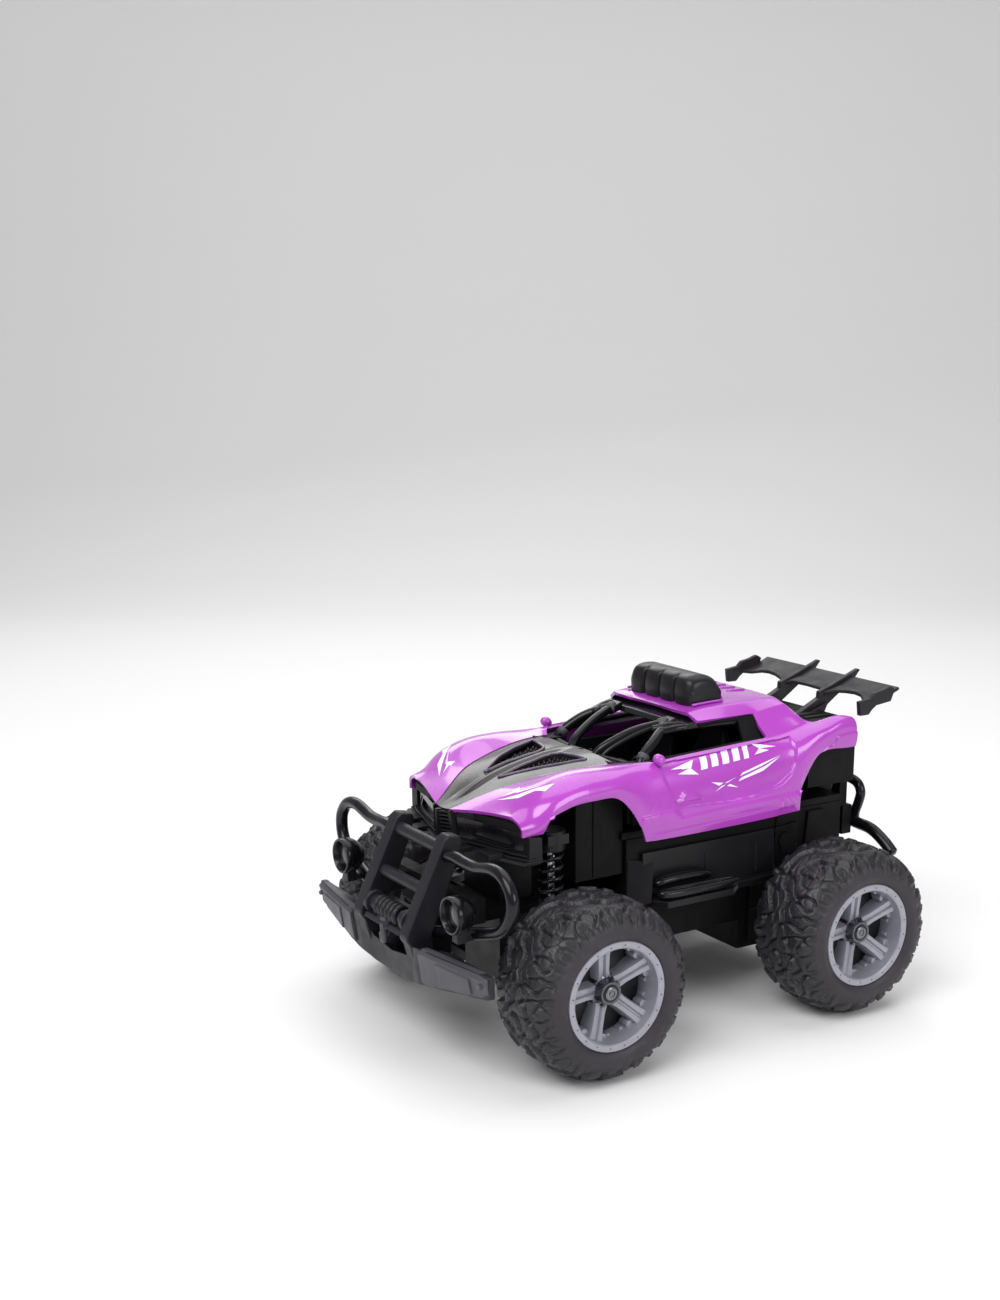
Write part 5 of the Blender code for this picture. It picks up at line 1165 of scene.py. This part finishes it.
def build_chassis_trim():
    """Ribs, panels and screw heads moulded on the visible walls of the chassis."""
    walls = both(
        sections([[(34, 44, 53), (37, 45, 54), (37, 57, 54), (34, 58, 53)],
                  [(34, 46, 73), (36.6, 46.6, 72.6), (36.6, 57, 72.6), (34, 58, 73)]]),
        prism([(60, 53), (74, 53), (70, 72), (62, 72)], "x", 35.6, 37.4),
        box((33.8, -38.8, 61), (34.5, -35, 93.4)),
        prism([(-46.6, 60.4), (-46.6, 94), (-44.8, 95.6), (-44.8, 60.4)], "x", 20, 34.6),
        rod("x", (0, 50.6, 62), 3.4, 36.8, 37.9, 28),
        prism([(44.6, 66), (56, 67.4), (56, 69), (44.6, 68)], "x", 36.6, 37.9),
        box((36.6, 48, 57), (37.8, 56, 60)),
        *[box((26.9, y, 18.6), (27.5, y + 1.4, 46)) for y in (41, 70)])
    mould("chassis_trim", walls, "matte_black", 0.3, "matte_black")
    arms = both(
        rod("z", (KINGPIN_X, -AXLE_Y, 0), 5.2, 75.6, 83.2, 28),
        rod("z", (KINGPIN_X, -AXLE_Y, 0), 5.2, 16.9, 21.2, 28),
        prism([(20, -63), (33, -63.6), (33, -62), (20, -61.8)], "z", 74, 82),
        sections([[(12, -66, 66), (14, -66, 66), (14, -58, 66), (12, -58, 66)],
                  [(24, -64, 78), (30, -64, 78), (30, -58, 78), (24, -58, 78)]]))
    mould("suspension_trim", arms, "satin_black", 0.35, "satin_black")
    heads = [rod("z", (x, y, 0), 2, 16, 17.2, 20) for x in (-22, 22) for y in (40.5, 75.5)]
    heads += [rod("z", (x, -57.8, 0), 1.9, 16.6, 17.6, 20) for x in (-24, 24)]
    mould("case_screws", heads, "steel", 0, "steel")


CAD_LOOKS = {
    "matte_black": "chassis_tub chassis_cover gearbox_case gearbox_cover battery_door",
    "satin_black": "front_suspension_frame knuckle_l knuckle_r tie_rod",
    "steel": "kingpin_l kingpin_r drive_motor idler_pin rear_axle door_screw",
    "nylon": "slider_bush_l slider_bush_r steering_lever idler_gear axle_gear",
    "brass": "motor_pinion axle_bush_l axle_bush_r",
    "cell": "battery_1 battery_2 battery_3 battery_4",
    "skid_grey": "steering_servo", "red": "power_switch", "board": "receiver_board",
}
EASED = ("chassis", "gearbox", "front_", "battery_door", "steering_servo")


def dress_cad():
    """CAD nodes that stay: better materials, and eased edges on the large mouldings."""
    for look, nodes in CAD_LOOKS.items():
        for node in nodes.split():
            item = NODES[node]
            item.data.materials.clear()
            item.data.materials.append(LOOK[look])
            if node.startswith(EASED):
                ease(item, 0.45)
    ribs = [box((x, -10, 28.7), (x + 1.4, 20, 29.5)) for x in range(-24, 25, 6)]
    mould("battery_door_ribs", ribs, "matte_black", 0.2, "matte_black", body="door")


# ----------------------------------------------------------------- stage, light
def build_stage():
    data = bpy.data.meshes.new("floor")
    reach, back, top, bend = 3.0, 1.6, 2.4, 0.6
    rows = [(-reach, 0.0), (back - bend, 0.0)]
    rows += [(back - bend + bend * math.sin(a), bend - bend * math.cos(a))
             for a in (math.pi / 2 * k / 8 for k in range(1, 9))]
    rows.append((back, top))
    turn = Matrix.Rotation(math.radians(57), 3, "Z")
    points = [turn @ Vector((x, y, z - 0.0002)) for y, z in rows for x in (-reach * 1.4, reach * 1.4)]
    faces = [(2 * k, 2 * k + 1, 2 * k + 3, 2 * k + 2) for k in range(len(rows) - 1)]
    data.from_pydata(points, [], faces)
    data.shade_smooth()
    made, tree, shader = new_nodes("floor_white")
    noise = add(tree, "ShaderNodeTexNoise", {"Scale": 3.0})
    ramp = add(tree, "ShaderNodeValToRGB")
    for stop, grey in zip(ramp.color_ramp.elements, (0.88, 0.92)):
        stop.color = (grey, grey, grey, 1)
    tree.links.new(noise.outputs["Fac"], ramp.inputs["Fac"])
    tree.links.new(ramp.outputs["Color"], shader.inputs["Base Color"])
    shader.inputs["Roughness"].default_value = 0.75
    data.materials.append(made)
    link_object("floor", data)


def area_light(name, stands_at, target, size, power):
    data = bpy.data.lights.new(name, "AREA")
    data.shape = "RECTANGLE"
    data.size, data.size_y = size
    data.energy = power
    item = link_object(name, data)
    item.location = stands_at
    item.rotation_euler = (Vector(target) - Vector(stands_at)).to_track_quat("-Z", "Y").to_euler()


def build_light():
    world = bpy.data.worlds.new("studio")
    world.use_nodes = True
    sky = world.node_tree.nodes["Background"]
    sky.inputs["Color"].default_value = (1, 0.99, 1, 1)
    sky.inputs["Strength"].default_value = 0.34
    bpy.context.scene.world = world
    bpy.context.scene.view_settings.view_transform = "Standard"
    area_light("key", (0.30, -0.75, 0.95), (0, 0, 0.06), (0.9, 0.6), 9)
    area_light("top", (-0.2, 0.25, 1.1), (0, 0, 0.05), (1.2, 1), 6)
    area_light("side", (1.15, 0.30, 0.55), (0, 0, 0.06), (0.7, 0.5), 5)
    area_light("rim", (-0.95, 0.38, 0.72), (0, 0, 0.08), (0.7, 0.35), 2.2)


def build_camera():
    data = bpy.data.cameras.new("camera")
    item = link_object("camera", data)
    azimuth, elevation, roll = (math.radians(a) for a in (56.109, 15.283, 0.22))
    back = Vector((math.sin(azimuth) * math.cos(elevation), -math.cos(azimuth) * math.cos(elevation),
                   math.sin(elevation)))
    item.location = (0.5298, -0.3739, 0.2503)
    item.rotation_mode = "QUATERNION"
    item.rotation_quaternion = (-back).to_track_quat("-Z", "Y") @ Quaternion((0, 0, 1), roll)
    data.sensor_width = 36.0
    data.lens = 47.34
    data.shift_x, data.shift_y = -0.0676, 0.1231
    data.clip_start, data.clip_end = 0.01, 20.0
    bpy.context.scene.camera = item


build_camera()
skin_tree = build_shell()
drape(skin_tree, "door_graphics", DOOR_MARKS, "x")
drape(skin_tree, "fender_graphics", BONNET_MARKS, "z")
build_bonnet()
build_nose()
build_cage()
build_interior()
build_pod()
build_wing()
build_bumper()
build_skid()
build_winch()
build_wheels()
build_springs()
build_steps()
build_tail()
build_chassis_trim()
dress_cad()
build_stage()
build_light()
